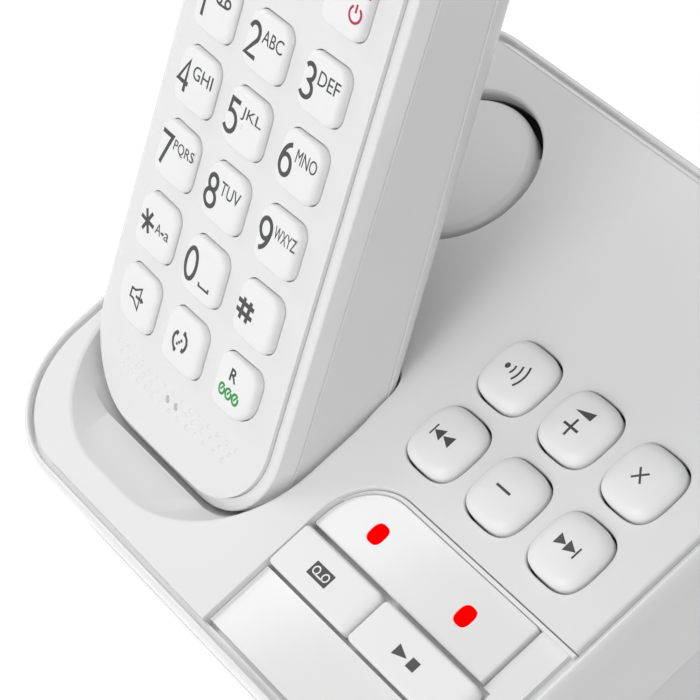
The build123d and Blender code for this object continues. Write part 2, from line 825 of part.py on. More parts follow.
def earpiece_speaker():
    """Receiver capsule between the face panel and the board."""
    return disc(earpiece_radius, -handset_board_depth, -face_thickness, 0, earpiece_v)


def microphone():
    """Microphone capsule on the board."""
    top = -handset_board_depth + microphone_height
    return disc(microphone_radius, -handset_board_depth, top, 0, microphone_inset)


def handset_circuit_board():
    """Board behind the keys, with holes for the screw posts."""
    low = -handset_board_depth - handset_board_thickness
    length = handset_length - handset_board_top_inset - handset_board_bottom_inset
    middle = handset_board_bottom_inset + length / 2
    board = block(handset_board_width, length, low, -handset_board_depth, y=middle)
    board = board & handset_layer(handset_wall + slip, -overrun, overrun)
    for u, v in handset_screw_places:
        board -= disc(handset_post_radius + seat_gap, -overrun, overrun, u, v)
    return board


def keypad_mat():
    """Rubber mat on the board with a dome under every key."""
    low = -handset_board_depth
    top = low + mat_thickness
    bottom = key_first_row_v - key_length / 2
    upper = soft_key_v + soft_key_length / 2
    width = 2 * key_column_pitch + 2 * dome_radius
    mat = block(width, upper - bottom, low, top, y=(bottom + upper) / 2)
    dome_top = -face_thickness - 2 * seat_gap - key_flange_thickness - key_travel
    for (u, v), *sizes in handset_keys.values():
        mat += disc(dome_radius, low, dome_top, u, v)
    return mat


def batteries():
    """Two cells side by side along the handset."""
    depth = -handset_depth + door_thickness + 2 * seat_gap + battery_radius
    cell = Cylinder(battery_radius, battery_length, rotation=(90, 0, 0))
    return [Pos(side * battery_pitch / 2, battery_v, depth) * cell for side in (-1, 1)]


def battery_contacts():
    """Contact plates between the cells and the ribs."""
    plates = []
    reach = battery_length / 2 + battery_contact_thickness / 2
    low = middle_face
    high = middle_face + battery_contact_width
    for side in (-1, 1):
        for end in (-1, 1):
            v = battery_v + end * reach
            u = side * battery_pitch / 2
            plates.append(block(battery_contact_width, battery_contact_thickness, low, high, u, v))
    return plates


def handset_loudspeaker():
    """Ringer on the inside of the back cover."""
    return disc(ringer_radius, back_inside, back_inside + ringer_height, 0, ringer_v)


def handset_charge_contacts():
    """Two contact plates in the bottom end of the handset."""
    length = handset_wall + contact_tail
    return [
        Pos(u, length / 2, -contact_depth_w) * Box(handset_contact_size, length, handset_contact_size)
        for u in contact_places
    ]


def handset_screws():
    """Four screws from the back cover into the posts of the face panel."""
    screws = []
    head_seat = -handset_depth + screw_head_height + handset_wall
    for u, v in handset_screw_places:
        shank = disc(screw_hole_radius, head_seat, middle_face + screw_grip, u, v)
        screws.append(shank + disc(screw_head_radius, head_seat - screw_head_height, head_seat, u, v))
    return screws


# Every node with its frame
upright = Location((0, 0, 0))
nodes = {
    "base_bezel": (upright, base_bezel()),
    "base_top_cover": (slab, base_top_cover()),
    "base_lower_housing": (upright, base_lower_housing()),
    "base_trim_strip": (slab, trim_strip()),
    "lamp_strip": (slab, lamp_strip()),
    "indicator_lamps": (slab, indicator_lamps()),
    "speaker_cap": (slab, speaker_cap()),
    "base_loudspeaker": (slab, base_loudspeaker()),
    "base_circuit_board": (slab, base_circuit_board()),
    "base_keypad_mat": (slab, base_keypad_mat()),
    "base_charge_contacts": (handset, base_charge_contacts()),
    "line_jack": (upright, line_jack()),
    "power_jack": (upright, power_jack()),
    "rubber_feet": (upright, rubber_feet()),
    "base_screws": (upright, base_screws()),
    "handset_bezel": (handset, handset_bezel()),
    "handset_front_shell": (handset, handset_front_shell()),
    "handset_rear_shell": (handset, handset_rear_shell()),
    "handset_back_cover": (handset, handset_back_cover()),
    "battery_door": (handset, battery_door()),
    "display_lens": (handset, display_lens()),
    "display_module": (handset, display_module()),
    "earpiece_speaker": (handset, earpiece_speaker()),
    "microphone": (handset, microphone()),
    "handset_circuit_board": (handset, handset_circuit_board()),
    "keypad_mat": (handset, keypad_mat()),
    "batteries": (handset, batteries()),
    "battery_contacts": (handset, battery_contacts()),
    "handset_loudspeaker": (handset, handset_loudspeaker()),
    "handset_charge_contacts": (handset, handset_charge_contacts()),
    "handset_screws": (handset, handset_screws()),
}
for name, (x, y) in base_keys.items():
    nodes[name] = (slab, base_key(x, y))
for name, (x, width) in long_keys.items():
    nodes[name] = (slab, long_key(x, width))
for name, sizes in handset_keys.items():
    nodes[name] = (handset, handset_key(*sizes))

# The origin is under the middle of the whole part
placed = {}
for name, (frame, shapes) in nodes.items():
    group = shapes if isinstance(shapes, list) else [shapes]
    placed[name] = Compound([frame * solid for shape in group for solid in shape.solids()])
box = Compound(list(placed.values())).bounding_box()
origin = Pos(-(box.min.X + box.max.X) / 2, -(box.min.Y + box.max.Y) / 2, -box.min.Z)
for name, shape in placed.items():
    export_step(origin * shape, f"parts/{name}.step")
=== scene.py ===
"""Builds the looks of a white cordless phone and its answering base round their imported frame."""
import json
import math

import bmesh
import bpy
from bpy.props import FloatProperty, FloatVectorProperty, IntProperty, PointerProperty
from bpy.types import Operator, Panel, PropertyGroup
from mathutils import Matrix, Quaternion, Vector

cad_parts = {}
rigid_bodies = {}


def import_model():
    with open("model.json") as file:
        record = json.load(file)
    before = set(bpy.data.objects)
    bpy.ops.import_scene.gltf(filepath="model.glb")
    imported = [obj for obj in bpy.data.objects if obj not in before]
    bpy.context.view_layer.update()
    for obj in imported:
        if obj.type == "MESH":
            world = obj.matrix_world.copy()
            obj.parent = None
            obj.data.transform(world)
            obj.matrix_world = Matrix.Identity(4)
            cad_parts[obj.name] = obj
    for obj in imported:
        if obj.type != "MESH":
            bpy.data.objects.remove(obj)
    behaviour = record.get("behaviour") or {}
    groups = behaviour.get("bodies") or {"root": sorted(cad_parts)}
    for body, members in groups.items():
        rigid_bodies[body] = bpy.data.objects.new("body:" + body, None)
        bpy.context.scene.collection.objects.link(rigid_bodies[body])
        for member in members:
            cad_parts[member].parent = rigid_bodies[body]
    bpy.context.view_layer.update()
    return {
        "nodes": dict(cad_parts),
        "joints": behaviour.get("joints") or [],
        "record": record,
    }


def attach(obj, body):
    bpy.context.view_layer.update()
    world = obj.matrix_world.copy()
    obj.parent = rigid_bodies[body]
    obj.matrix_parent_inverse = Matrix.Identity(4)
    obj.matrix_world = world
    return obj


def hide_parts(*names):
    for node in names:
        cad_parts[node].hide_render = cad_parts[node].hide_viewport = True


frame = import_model()

bl_info = {
    "name": "Cordless phone",
    "version": (1, 0, 0),
    "blender": (4, 5, 0),
    "location": "3D View > Sidebar > Phone",
    "description": "Dresses the packed frame of a cordless phone and its answering base",
    "category": "Object",
}

MM = 0.001
ACROSS = Vector((1, 0, 0))
UPRIGHT = Matrix.Scale(MM, 4)


# Local frames, in millimetres

def joint_axis(name):
    """Direction of a joint of the frame."""
    for joint in frame["joints"]:
        if joint["name"] == name:
            return Vector(joint["axis"]).normalized()
    raise ValueError(f"the frame has no joint {name}")


def reach(node, axis):
    """Lowest and highest place of a CAD node along an axis, in metres."""
    places = [vertex.co.dot(axis) for vertex in frame["nodes"][node].data.vertices]
    return min(places), max(places)


def local_frame(normal, across, along, height):
    """Matrix from millimetres in a local frame to the shared frame."""
    forward = normal.cross(ACROSS)
    turn = Matrix((ACROSS, forward, normal)).transposed().to_4x4()
    origin = ACROSS * across + forward * along + normal * height
    return Matrix.Translation(origin) @ turn @ Matrix.Scale(MM, 4)


def slab_frame():
    """Frame of the base's sloping top: X right, Y to the back, Z out of the top plane."""
    normal = -joint_axis("volume_up_press")
    forward = normal.cross(ACROSS)
    across = sum(reach("base_top_cover", ACROSS)) / 2
    along = sum(reach("base_top_cover", forward)) / 2
    return local_frame(normal, across, along, reach("base_top_cover", normal)[1])


def grip_frame():
    """Frame of the handset: X right, Y along its length from the lower end, Z out of the face."""
    normal = -joint_axis("digit_5_press")
    across = sum(reach("handset_bezel", ACROSS)) / 2
    along = reach("handset_bezel", normal.cross(ACROSS))[0]
    return local_frame(normal, across, along, reach("handset_front_shell", normal)[1])


SLAB = slab_frame()
GRIP = grip_frame()


def box_of(points):
    """Lowest and highest corner of the box round some points."""
    low = Vector([min(point[axis] for point in points) for axis in range(3)])
    high = Vector([max(point[axis] for point in points) for axis in range(3)])
    return low, high


def local_box(node, place):
    """Lowest and highest corner of a CAD node in a local frame, in millimetres."""
    back = place.inverted()
    return box_of([back @ vertex.co for vertex in frame["nodes"][node].data.vertices])


def middle_of(low, high):
    """Middle of a box in plan."""
    return (low[0] + high[0]) / 2, (low[1] + high[1]) / 2


# Sizes and colours that a user would change

def length(label, text, millimetres):
    """A length property whose default is given in millimetres."""
    return FloatProperty(name=label, description=text, default=millimetres * MM, unit="LENGTH", precision=5)


def colour(label, text, value):
    """A colour property in linear values."""
    return FloatVectorProperty(
        name=label, description=text, default=value, subtype="COLOR", size=3, min=0.0, max=1.0
    )


def power(label, text, watts):
    """A lamp's power."""
    return FloatProperty(name=label, description=text, default=watts, min=0.0, unit="POWER")


class PhoneBaseSizes(PropertyGroup):
    """Sizes of the base."""
    width: length("Width", "Width of the base over its sloping top", 117.0)
    depth: length("Depth", "Depth of the base along its sloping top", 104.0)
    corner: length("Corner", "Radius of the base's corners", 20.0)
    rim_height: length("Rim height", "Height of the upper side wall", 18.0)
    band_height: length("Band height", "Height of the smooth band above the step in the side wall", 5.1)
    cover_gap: length("Cover gap", "Distance from the outside to the top cover", 2.4)
    key_size: length("Key size", "Width of a pillow key", 11.3)
    key_proud: length("Key height", "How far a pillow key stands out of the cover", 1.8)
    key_gap: length("Key gap", "Gap round a pillow key", 0.35)
    cap_radius: length("Cap radius", "Radius of the round sound cap", 13.2)
    outlet_radius: length("Outlet radius", "Radius of the hole round the sound cap", 14.5)


class PhoneHandsetSizes(PropertyGroup):
    """Sizes of the handset."""
    width: length("Width", "Width of the handset", 52.0)
    length: length("Length", "Length of the handset", 165.7)
    depth: length("Depth", "Thickness of the handset", 21.0)
    corner: length("Corner", "Radius of the handset's corners", 16.0)
    rim_width: length("Rim width", "Width of the glossy rim round the face", 2.4)
    crown: length("Crown radius", "Radius of the curve across the face", 260.0)
    key_width: length("Key width", "Width of a dial key", 9.7)
    key_length: length("Key length", "Length of a dial key", 9.4)
    key_proud: length("Key height", "How far a dial key stands out of the face", 1.4)
    key_gap: length("Key gap", "Gap round a dial key", 0.16)
    dimple_pitch: length("Dimple pitch", "Distance between the dimples over the microphone", 2.43)
    dimple_count: IntProperty(name="Dimples", description="Dimples in the longest row", default=15, min=3)


class PhoneFinishes(PropertyGroup):
    """Colours of the phone."""
    gloss: colour("Gloss white", "Rims and strips", (0.80, 0.80, 0.80))
    shell: colour("Shell white", "Face and top cover", (0.80, 0.80, 0.80))
    side: colour("Side grey", "Side wall and back of the handset, lower housing", (0.77, 0.77, 0.775))
    key: colour("Key white", "Push buttons", (0.86, 0.86, 0.86))
    ink: colour("Ink", "Legends", (0.05, 0.05, 0.053))
    lamp: colour("Lamp red", "Indicator lamps", (0.85, 0.0, 0.0))


class PhoneStudio(PropertyGroup):
    """Light of the studio."""
    sky: FloatProperty(name="Sky", description="Strength of the sky halfway across", default=0.49, min=0.0)
    side_power: power("Side light", "Power of the soft lamp at the left", 3.6)
    front_power: power("Front light", "Power of the soft lamp in front", 3.6)


def mm(group, name):
    """A size of the scene in millimetres."""
    return getattr(getattr(bpy.context.scene, group), name) / MM


# Plans and profiles of rounded solids

def rounded(width, depth, corners, steps=8, centre=(0, 0)):
    """Plan of a rectangle with rounded corners, from right back round to right front."""
    radii = corners if isinstance(corners, tuple) else (corners,) * 4

    def plan(inset):
        points = []
        for quarter, corner in enumerate(radii):
            radius = max(corner - inset, 0.02)
            side_x = 1 if quarter in (0, 3) else -1
            side_y = 1 if quarter in (0, 1) else -1
            middle_x = centre[0] + side_x * (width / 2 - inset - radius)
            middle_y = centre[1] + side_y * (depth / 2 - inset - radius)
            for step in range(steps + 1):
                turn = math.radians(90 * (quarter + step / steps))
                points.append((middle_x + radius * math.cos(turn), middle_y + radius * math.sin(turn)))
        return points

    plan.centre = centre
    return plan


def oval(width, depth, power=2.0, steps=48, centre=(0, 0)):
    """Plan of an ellipse, or with a higher power of a squarer pillow."""
    def share(value):
        return math.copysign(abs(value) ** (2 / power), value)

    def plan(inset):
        half_x = width / 2 - inset
        half_y = depth / 2 - inset
        turns = [math.tau * step / steps for step in range(steps)]
        return [
            (centre[0] + half_x * share(math.cos(turn)), centre[1] + half_y * share(math.sin(turn)))
            for turn in turns
        ]

    plan.centre = centre
    return plan


def arc(inset, height, across, rise, start, end, steps=6):
    """Profile points on an ellipse round a middle, each an inset and a height."""
    points = []
    for step in range(steps + 1):
        turn = math.radians(start + (end - start) * step / steps)
        points.append((inset - across * math.cos(turn), height + rise * math.sin(turn)))
    return points


def dome(inset, height, rise, shares):
    """Profile points of a gently domed top inside an edge."""
    return [(inset, height + rise * (1 - share * share), share) for share in shares]


def flared(low, radius, lift=0.012):
    """Profile of a cutter whose mouth leaves a rounded edge on the top plane."""
    edge = arc(-radius, lift - radius, -radius, radius, 0, 90, 5)
    return [(0, low)] + edge + [(-radius, 3.0)]


def loft(plan, profile, closed=False):
    """Closed mesh from rings of a plan, each pulled in, raised and shrunk as the profile says."""
    form = bmesh.new()
    rings = []
    for inset, height, *rest in profile:
        share = rest[0] if rest else 1
        ring = []
        for x, y in plan(inset):
            x = plan.centre[0] + (x - plan.centre[0]) * share
            y = plan.centre[1] + (y - plan.centre[1]) * share
            z = height(x, y) if callable(height) else height
            ring.append(form.verts.new((x, y, z)))
        rings.append(ring)
    skin(form, rings, closed)
    bmesh.ops.remove_doubles(form, verts=form.verts, dist=0.0005)
    bmesh.ops.recalc_face_normals(form, faces=form.faces)
    return as_mesh(form)


def skin(form, rings, closed=False):
    """Faces from ring to ring, and over both ends or back to the first ring."""
    pairs = list(zip(rings, rings[1:]))
    if closed:
        pairs.append((rings[-1], rings[0]))
    for lower, upper in pairs:
        for index in range(len(lower)):
            after = (index + 1) % len(lower)
            form.faces.new((lower[index], lower[after], upper[after], upper[index]))
    if not closed:
        form.faces.new(reversed(rings[0]))
        form.faces.new(rings[-1])


def prism(points, low, high):
    """Closed mesh of an XZ outline drawn out along Y."""
    form = bmesh.new()
    front = [form.verts.new((x, low, z)) for x, z in points]
    back = [form.verts.new((x, high, z)) for x, z in points]
    form.faces.new(front)
    form.faces.new(reversed(back))
    for index in range(len(points)):
        after = (index + 1) % len(points)
        form.faces.new((front[index], back[index], back[after], front[after]))
    bmesh.ops.recalc_face_normals(form, faces=form.faces)
    return as_mesh(form)


def box_mesh(low, high):
    """Closed mesh of a box between two corners, for cutting."""
    plan = rounded(high[0] - low[0], high[1] - low[1], 0.02, 1, middle_of(low, high))
    return loft(plan, [(0, low[2]), (0, high[2])])


def as_mesh(form):
    """Mesh from a finished bmesh."""
    mesh = bpy.data.meshes.new("form")
    form.to_mesh(mesh)
    form.free()
    return mesh


def put(name, mesh):
    """New object of a mesh, in the scene."""
    thing = bpy.data.objects.new(name, mesh)
    bpy.context.scene.collection.objects.link(thing)
    return thing


def take(thing):
    """The mesh of a helper object, which is removed."""
    mesh = thing.data
    bpy.data.objects.remove(thing)
    return mesh


def settle(thing):
    """Turns an object's modifiers into its mesh."""
    bpy.context.view_layer.update()
    seen = thing.evaluated_get(bpy.context.evaluated_depsgraph_get())
    mesh = bpy.data.meshes.new_from_object(seen)
    old = thing.data
    thing.modifiers.clear()
    thing.data = mesh
    bpy.data.meshes.remove(old)
    return thing


def carve(thing, meshes, operation="DIFFERENCE"):
    """Cuts meshes out of an object, or joins or crosses them with it."""
    tools = [put("tool", mesh) for mesh in meshes]
    for tool in tools:
        modifier = thing.modifiers.new("carve", "BOOLEAN")
        modifier.object = tool
        modifier.operation = operation
        modifier.solver = "EXACT"
    settle(thing)
    for tool in tools:
        bpy.data.meshes.remove(take(tool))
    if not thing.data.polygons:
        raise RuntimeError(f"nothing is left of {thing.name}")
    return thing


def soften(thing, width, segments=3, angle=50):
    """Rounds the sharp edges of an object."""
    modifier = thing.modifiers.new("soften", "BEVEL")
    modifier.width = width
    modifier.segments = segments
    modifier.limit_method = "ANGLE"
    modifier.angle_limit = math.radians(angle)
    return settle(thing)


def moved(mesh, place):
    """The mesh in another frame."""
    mesh.transform(place)
    return mesh


def merged(meshes):
    """One mesh of several, each keeping its material numbers."""
    form = bmesh.new()
    for mesh in meshes:
        form.from_mesh(mesh)
        bpy.data.meshes.remove(mesh)
    return as_mesh(form)


def dress(thing, place, body, nodes, finishes, sharp=40):
    """Shades a piece, puts its mesh in the shared frame, ties it to its body and hides the nodes it stands
    for.
    """
    mesh = thing.data
    mesh.transform(place)
    if len(mesh.materials):
        mesh.materials.clear()
    for material in finishes:
        mesh.materials.append(material)
    mesh.shade_smooth()
    mesh.set_sharp_from_angle(angle=math.radians(sharp))
    modifier = thing.modifiers.new("even", "WEIGHTED_NORMAL")
    modifier.keep_sharp = True
    settle(thing)
    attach(thing, body)
    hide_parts(*nodes)
    return thing


# Legends

# Material numbers of a key
PLAIN, INK, CRIMSON, GREEN = range(4)
INK_LINE = 0.72
FINE_LINE = 0.36
LONGEST_EDGE = 0.7
# Left, low, right and high side of what is printed on a dial key
DIGIT_BOX = (-4.06, -2.43, -1.13, 2.63)
WORD_BOX = (-0.55, 0.52, 4.35, 2.72)
LONG_WORD_BOX = (-0.5, 0.62, 4.7, 2.65)


class Legend:
    """Thin closed ink shapes that lie on the top of a key."""
    thickness = 0.05

    def __init__(self):
        self.form = bmesh.new()
        self.number = INK

    def solid(self, outline):
        """A filled outline."""
        half = self.thickness / 2
        upper = [self.form.verts.new((x, y, half)) for x, y in outline]
        lower = [self.form.verts.new((x, y, -half)) for x, y in outline]
        faces = [self.form.faces.new(upper), self.form.faces.new(reversed(lower))]
        for index in range(len(outline)):
            after = (index + 1) % len(outline)
            faces.append(self.form.faces.new((upper[index], lower[index], lower[after], upper[after])))
        for face in faces:
            face.material_index = self.number

    def line(self, points, width, closed=False):
        """A line of even width along points."""
        count = len(points)
        pairs = []
        for index, (x, y) in enumerate(points):
            before = points[(index - 1) % count] if closed or index else points[index]
            after = points[(index + 1) % count] if closed or index < count - 1 else points[index]
            ahead = Vector((after[0] - x, after[1] - y))
            behind = Vector((x - before[0], y - before[1]))
            if not ahead.length:
                ahead = behind.copy()
            if not behind.length:
                behind = ahead.copy()
            ahead.normalize()
            behind.normalize()
            middle = (ahead + behind).normalized()
            stretch = min(1 / max(middle.dot(ahead), 0.4), 1.6)
            side = Vector((-middle.y, middle.x)) * width / 2 * stretch
            pairs.append(((x + side.x, y + side.y), (x - side.x, y - side.y)))
        last = count if closed else count - 1
        half = self.thickness / 2
        rows = []
        for left, right in pairs:
            rows.append([
                self.form.verts.new((*left, half)), self.form.verts.new((*right, half)),
                self.form.verts.new((*right, -half)), self.form.verts.new((*left, -half)),
            ])
        faces = []
        for index in range(last):
            row = rows[index]
            following = rows[(index + 1) % count]
            for corner in range(4):
                after = (corner + 1) % 4
                ends = (row[corner], row[after], following[after], following[corner])
                faces.append(self.form.faces.new(ends))
        if not closed:
            faces.append(self.form.faces.new(reversed(rows[0])))
            faces.append(self.form.faces.new(rows[-1]))
        for face in faces:
            face.material_index = self.number

    def ring(self, x, y, radius_x, radius_y, width, steps=28):
        """A closed oval line."""
        self.line(curve(x, y, radius_x, radius_y, 0, 360 - 360 / steps, steps - 1), width, True)

    def dot(self, x, y, radius, steps=14):
        """A filled circle."""
        self.solid(curve(x, y, radius, radius, 0, 360 - 360 / steps, steps - 1))

    def letters(self, text, left, low, right, high, bold=0.0):
        """Letters of the built-in font, fitted into a box."""
        script = bpy.data.curves.new("letters", "FONT")
        script.body = text
        script.offset = bold
        script.resolution_u = 3
        script.extrude = 0.1
        thing = bpy.data.objects.new("letters", script)
        bpy.context.scene.collection.objects.link(thing)
        bpy.context.view_layer.update()
        seen = thing.evaluated_get(bpy.context.evaluated_depsgraph_get())
        mesh = bpy.data.meshes.new_from_object(seen)
        xs = [vertex.co.x for vertex in mesh.vertices]
        ys = [vertex.co.y for vertex in mesh.vertices]
        wide = (right - left) / (max(xs) - min(xs))
        tall = (high - low) / (max(ys) - min(ys))
        for vertex in mesh.vertices:
            x, y, z = vertex.co
            flat = math.copysign(self.thickness / 2, z)
            vertex.co = (left + (x - min(xs)) * wide, low + (y - min(ys)) * tall, flat)
        for face in mesh.polygons:
            face.material_index = self.number
        self.form.from_mesh(mesh)
        bpy.data.objects.remove(thing)
        bpy.data.curves.remove(script)
        bpy.data.meshes.remove(mesh)

    def laid(self, height):
        """The mesh of the legend, laid on a surface given by its height at a place."""
        bmesh.ops.remove_doubles(self.form, verts=self.form.verts, dist=0.002)
        for _ in range(4):
            bmesh.ops.triangulate(self.form, faces=self.form.faces)
            wide = [edge for edge in self.form.edges if edge.calc_length() > LONGEST_EDGE]
            if wide:
                bmesh.ops.subdivide_edges(self.form, edges=wide, cuts=1)
        bmesh.ops.triangulate(self.form, faces=self.form.faces)
        for vertex in self.form.verts:
            vertex.co.z += height(vertex.co.x, vertex.co.y)
        bmesh.ops.recalc_face_normals(self.form, faces=self.form.faces)
        return as_mesh(self.form)


def curve(x, y, radius_x, radius_y, start, end, steps=14):
    """Points along an oval arc."""
    turns = [math.radians(start + (end - start) * step / steps) for step in range(steps + 1)]
    return [(x + radius_x * math.cos(turn), y + radius_y * math.sin(turn)) for turn in turns]


SIX_LINES = [
    (curve(0.5, 0.31, 0.47, 0.31, 0, 350, 35), True),
    (curve(0.93, 0.30, 0.90, 0.70, 103, 180, 12), False),
]
THREE_LINE = curve(0.42, 0.76, 0.42, 0.24, 150, -90, 14) + curve(0.40, 0.26, 0.52, 0.26, 90, -145, 16)[1:]
# Lines of thin upright digits in a box of one by one, each with whether it is closed
DIGIT_LINES = {
    "0": [(curve(0.5, 0.5, 0.5, 0.5, 0, 350, 35), True)],
    "1": [([(0.18, 0.8), (0.55, 1.0), (0.55, 0.0)], False)],
    "2": [(curve(0.47, 0.71, 0.45, 0.29, 165, -38, 16) + [(0.03, 0.0), (0.98, 0.0)], False)],
    "3": [(THREE_LINE, False)],
    "4": [([(0.74, 0.0), (0.74, 1.0), (0.02, 0.29), (1.0, 0.29)], False)],
    "5": [([(0.92, 1.0), (0.20, 1.0)] + curve(0.40, 0.32, 0.54, 0.33, 118, -145, 18), False)],
    "6": SIX_LINES,
    "7": [([(0.0, 1.0), (0.98, 1.0), (0.36, 0.0)], False)],
    "8": [
        (curve(0.5, 0.765, 0.38, 0.235, 0, 350, 35), True),
        (curve(0.5, 0.265, 0.48, 0.265, 0, 350, 35), True),
    ],
    "9": [([(1 - x, 1 - y) for x, y in points], closed) for points, closed in SIX_LINES],
}


def draw_digit(legend, digit, left, low, right, high):
    """Draws a digit into a box."""
    for points, closed in DIGIT_LINES[digit]:
        placed = [(left + x * (right - left), low + y * (high - low)) for x, y in points]
        legend.line(placed, INK_LINE, closed)


LETTERS = {"2": "ABC", "3": "DEF", "4": "GHI", "5": "JKL", "6": "MNO", "7": "PQRS", "8": "TUV", "9": "WXYZ"}


def draw_dial(legend, name):
    """Legend of a handset key."""
    if name.startswith("digit_"):
        digit = name.split("_")[1]
        draw_digit(legend, digit, *DIGIT_BOX)
        if digit in LETTERS:
            word = LETTERS[digit]
            legend.letters(word, *(LONG_WORD_BOX if len(word) > 3 else WORD_BOX))
        if digit == "0":
            legend.line([(0.44, -1.55), (0.44, -2.1), (2.95, -2.1), (2.95, -1.55)], FINE_LINE)
        if digit == "1":
            legend.ring(0.9, 1.7, 0.62, 0.62, FINE_LINE)
            legend.ring(3.1, 1.7, 0.62, 0.62, FINE_LINE)
            legend.line([(0.9, 1.0), (3.1, 1.0)], FINE_LINE)
    elif name == "star_key":
        for turn in (-5, 62, 117):
            x = 1.95 * math.cos(math.radians(turn))
            y = 1.95 * math.sin(math.radians(turn))
            legend.line([(-1.93 - x, 0.26 - y), (-1.93 + x, 0.26 + y)], 0.62)
        legend.letters("A", 0.5, -0.45, 1.95, 1.3)
        legend.line([(1.95, 0.2), (2.5, 0.2)], 0.3)
        legend.solid([(2.4, -0.15), (2.85, 0.2), (2.4, 0.55)])
        legend.letters("a", 2.9, -0.5, 4.0, 0.8)
    elif name == "hash_key":
        for u in (-1.1, -2.8):
            legend.line([(u - 0.17, -1.75), (u + 0.17, 1.8)], INK_LINE)
        for v in (-0.6, 0.9):
            legend.line([(-4.2, v), (0.05, v)], INK_LINE)
    elif name == "speaker_key":
        horn = [(-1.25, 1.4), (-0.3, 1.4), (1.25, 2.3), (1.25, -1.35), (-0.3, -0.05), (-1.25, -0.05)]
        legend.line(horn, FINE_LINE, True)
        legend.line([(0.2, 0.55), (1.75, 0.5)], 0.42)
        legend.solid([(1.6, -0.05), (2.35, 0.47), (1.6, 1.05)])
    elif name == "intercom_key":
        for bow, ends in (
            ([(-1.35, 1.3), (-1.8, 0.7), (-1.95, 0.0), (-1.75, -0.75), (-1.15, -1.45)], (0.45, -0.15)),
            ([(0.75, 1.8), (1.35, 1.3), (1.6, 0.55), (1.5, -0.2), (1.1, -0.95)], (-0.45, 0.15)),
        ):
            legend.line(bow, 0.5)
            for x, y in (bow[0], bow[-1]):
                legend.line([(x - ends[0] * 0.2, y), (x + ends[0], y + ends[1])], 0.75)
        for x, y in ((-0.65, -0.4), (-0.2, 0.06), (0.25, 0.52)):
            legend.dot(x, y, 0.26)
    elif name == "recall_key":
        legend.letters("R", -1.2, 1.05, 0.6, 3.1, 0.02)
        legend.number = GREEN
        for x in (-2.2, -0.4, 1.4):
            legend.line(curve(x, -1.05, 0.7, 0.85, 60, 390, 22), 0.4)
            legend.line([(x + 0.55, -0.2), (x - 0.25, -1.3)], 0.3)
    elif name == "off_key":
        legend.number = CRIMSON
        legend.line(curve(3.0, -0.45, 1.25, 1.25, 125, 415, 26), 0.4)
        legend.line([(3.0, 1.05), (3.0, -0.25)], 0.4)
        draw_receiver(legend, 3.4, 3.0, 1.0)
    elif name == "talk_key":
        legend.number = GREEN
        draw_receiver(legend, 0.0, -0.9, 1.5)
    elif name == "navigator_key":
        for turn in range(4):
            ahead = Vector((math.cos(turn * math.pi / 2), math.sin(turn * math.pi / 2)))
            side = Vector((-ahead.y, ahead.x))
            tip = ahead * 4.9
            foot = ahead * 3.9
            legend.solid([tuple(tip), tuple(foot + side * 0.8), tuple(foot - side * 0.8)])
    else:
        legend.line([(-1.4, 0.0), (1.4, 0.0)], 0.4)


def draw_receiver(legend, x, y, size):
    """A telephone receiver seen from its side."""
    outer = curve(x, y, 1.9 * size, 1.5 * size, 165, 15, 14)
    inner = curve(x, y - 0.25 * size, 1.15 * size, 0.95 * size, 30, 150, 10)
    ends = [(x + 1.9 * size, y - 0.35 * size), (x + 0.95 * size, y - 0.35 * size)]
    others = [(x - 0.95 * size, y - 0.35 * size), (x - 1.9 * size, y - 0.35 * size)]
    legend.solid(outer + ends + inner + others)


def draw_base(legend, name):
    """Legend of a base key."""
    if name in ("skip_back_key", "skip_forward_key"):
        side = -1 if name == "skip_back_key" else 1
        for tip in (0.0, 2.1):
            points = [(side * tip, 0.0), (side * (tip - 2.0), 1.0), (side * (tip - 2.0), -1.0)]
            legend.solid(points if side < 0 else points[::-1])
        legend.line([(side * 2.3, -1.0), (side * 2.3, 1.0)], 0.3)
    elif name == "volume_down_key":
        legend.line([(-1.57, 0.0), (1.57, 0.0)], 0.42)
    elif name == "volume_up_key":
        legend.line([(-1.55, -1.06), (1.6, -1.06)], 0.42)
        legend.line([(0.03, -2.6), (0.03, 0.5)], 0.42)
        legend.solid([(-1.8, 1.45), (1.65, 1.35), (1.65, 2.8)])
    elif name == "locator_key":
        legend.dot(-1.65, 0.0, 0.5)
        for radius in (1.45, 2.65, 3.85):
            legend.line(curve(-1.65, 0.0, radius, radius, -30, 30, 12), 0.34)
    elif name == "erase_key":
        for side in (-1, 1):
            legend.line([(-0.97, -side * 1.0), (1.0, side * 1.0)], 0.34)
    elif name == "answer_key":
        legend.solid(rounded(4.6, 2.45, 0.12, 2, (-1.83, 0.4))(0))
        legend.number = PLAIN
        legend.thickness = 0.09
        for x in (-2.95, -0.7):
            legend.ring(x, 0.45, 0.62, 0.62, 0.24)
        legend.line([(-2.95, -0.17), (-0.7, -0.17)], 0.24)
    elif name == "play_key":
        legend.solid([(-4.9, -0.6), (-2.2, 0.36), (-4.9, 1.35)])
        legend.solid([(-1.6, -0.52), (0.2, -0.52), (0.2, 1.2), (-1.6, 1.2)])


# Nodes

def wire(tree, made, inputs):
    """Links a node's inputs to sockets, or sets them to values."""
    for key, given in inputs.items():
        for value in given if isinstance(given, list) else [given]:
            if isinstance(value, bpy.types.NodeSocket):
                tree.links.new(value, made.inputs[key])
            else:
                made.inputs[key].default_value = value


def add_node(tree, kind, inputs, **settings):
    """New node with its settings and its inputs."""
    made = tree.nodes.new(kind)
    for name, value in settings.items():
        setattr(made, name, value)
    wire(tree, made, inputs)
    return made


def worked(tree, kind, *values):
    """Result of a math node of sockets or numbers."""
    return add_node(tree, "ShaderNodeMath", dict(enumerate(values)), operation=kind).outputs[0]


def triple(tree, *values):
    """A vector from three sockets or numbers."""
    return add_node(tree, "ShaderNodeCombineXYZ", dict(enumerate(values))).outputs[0]


# Materials

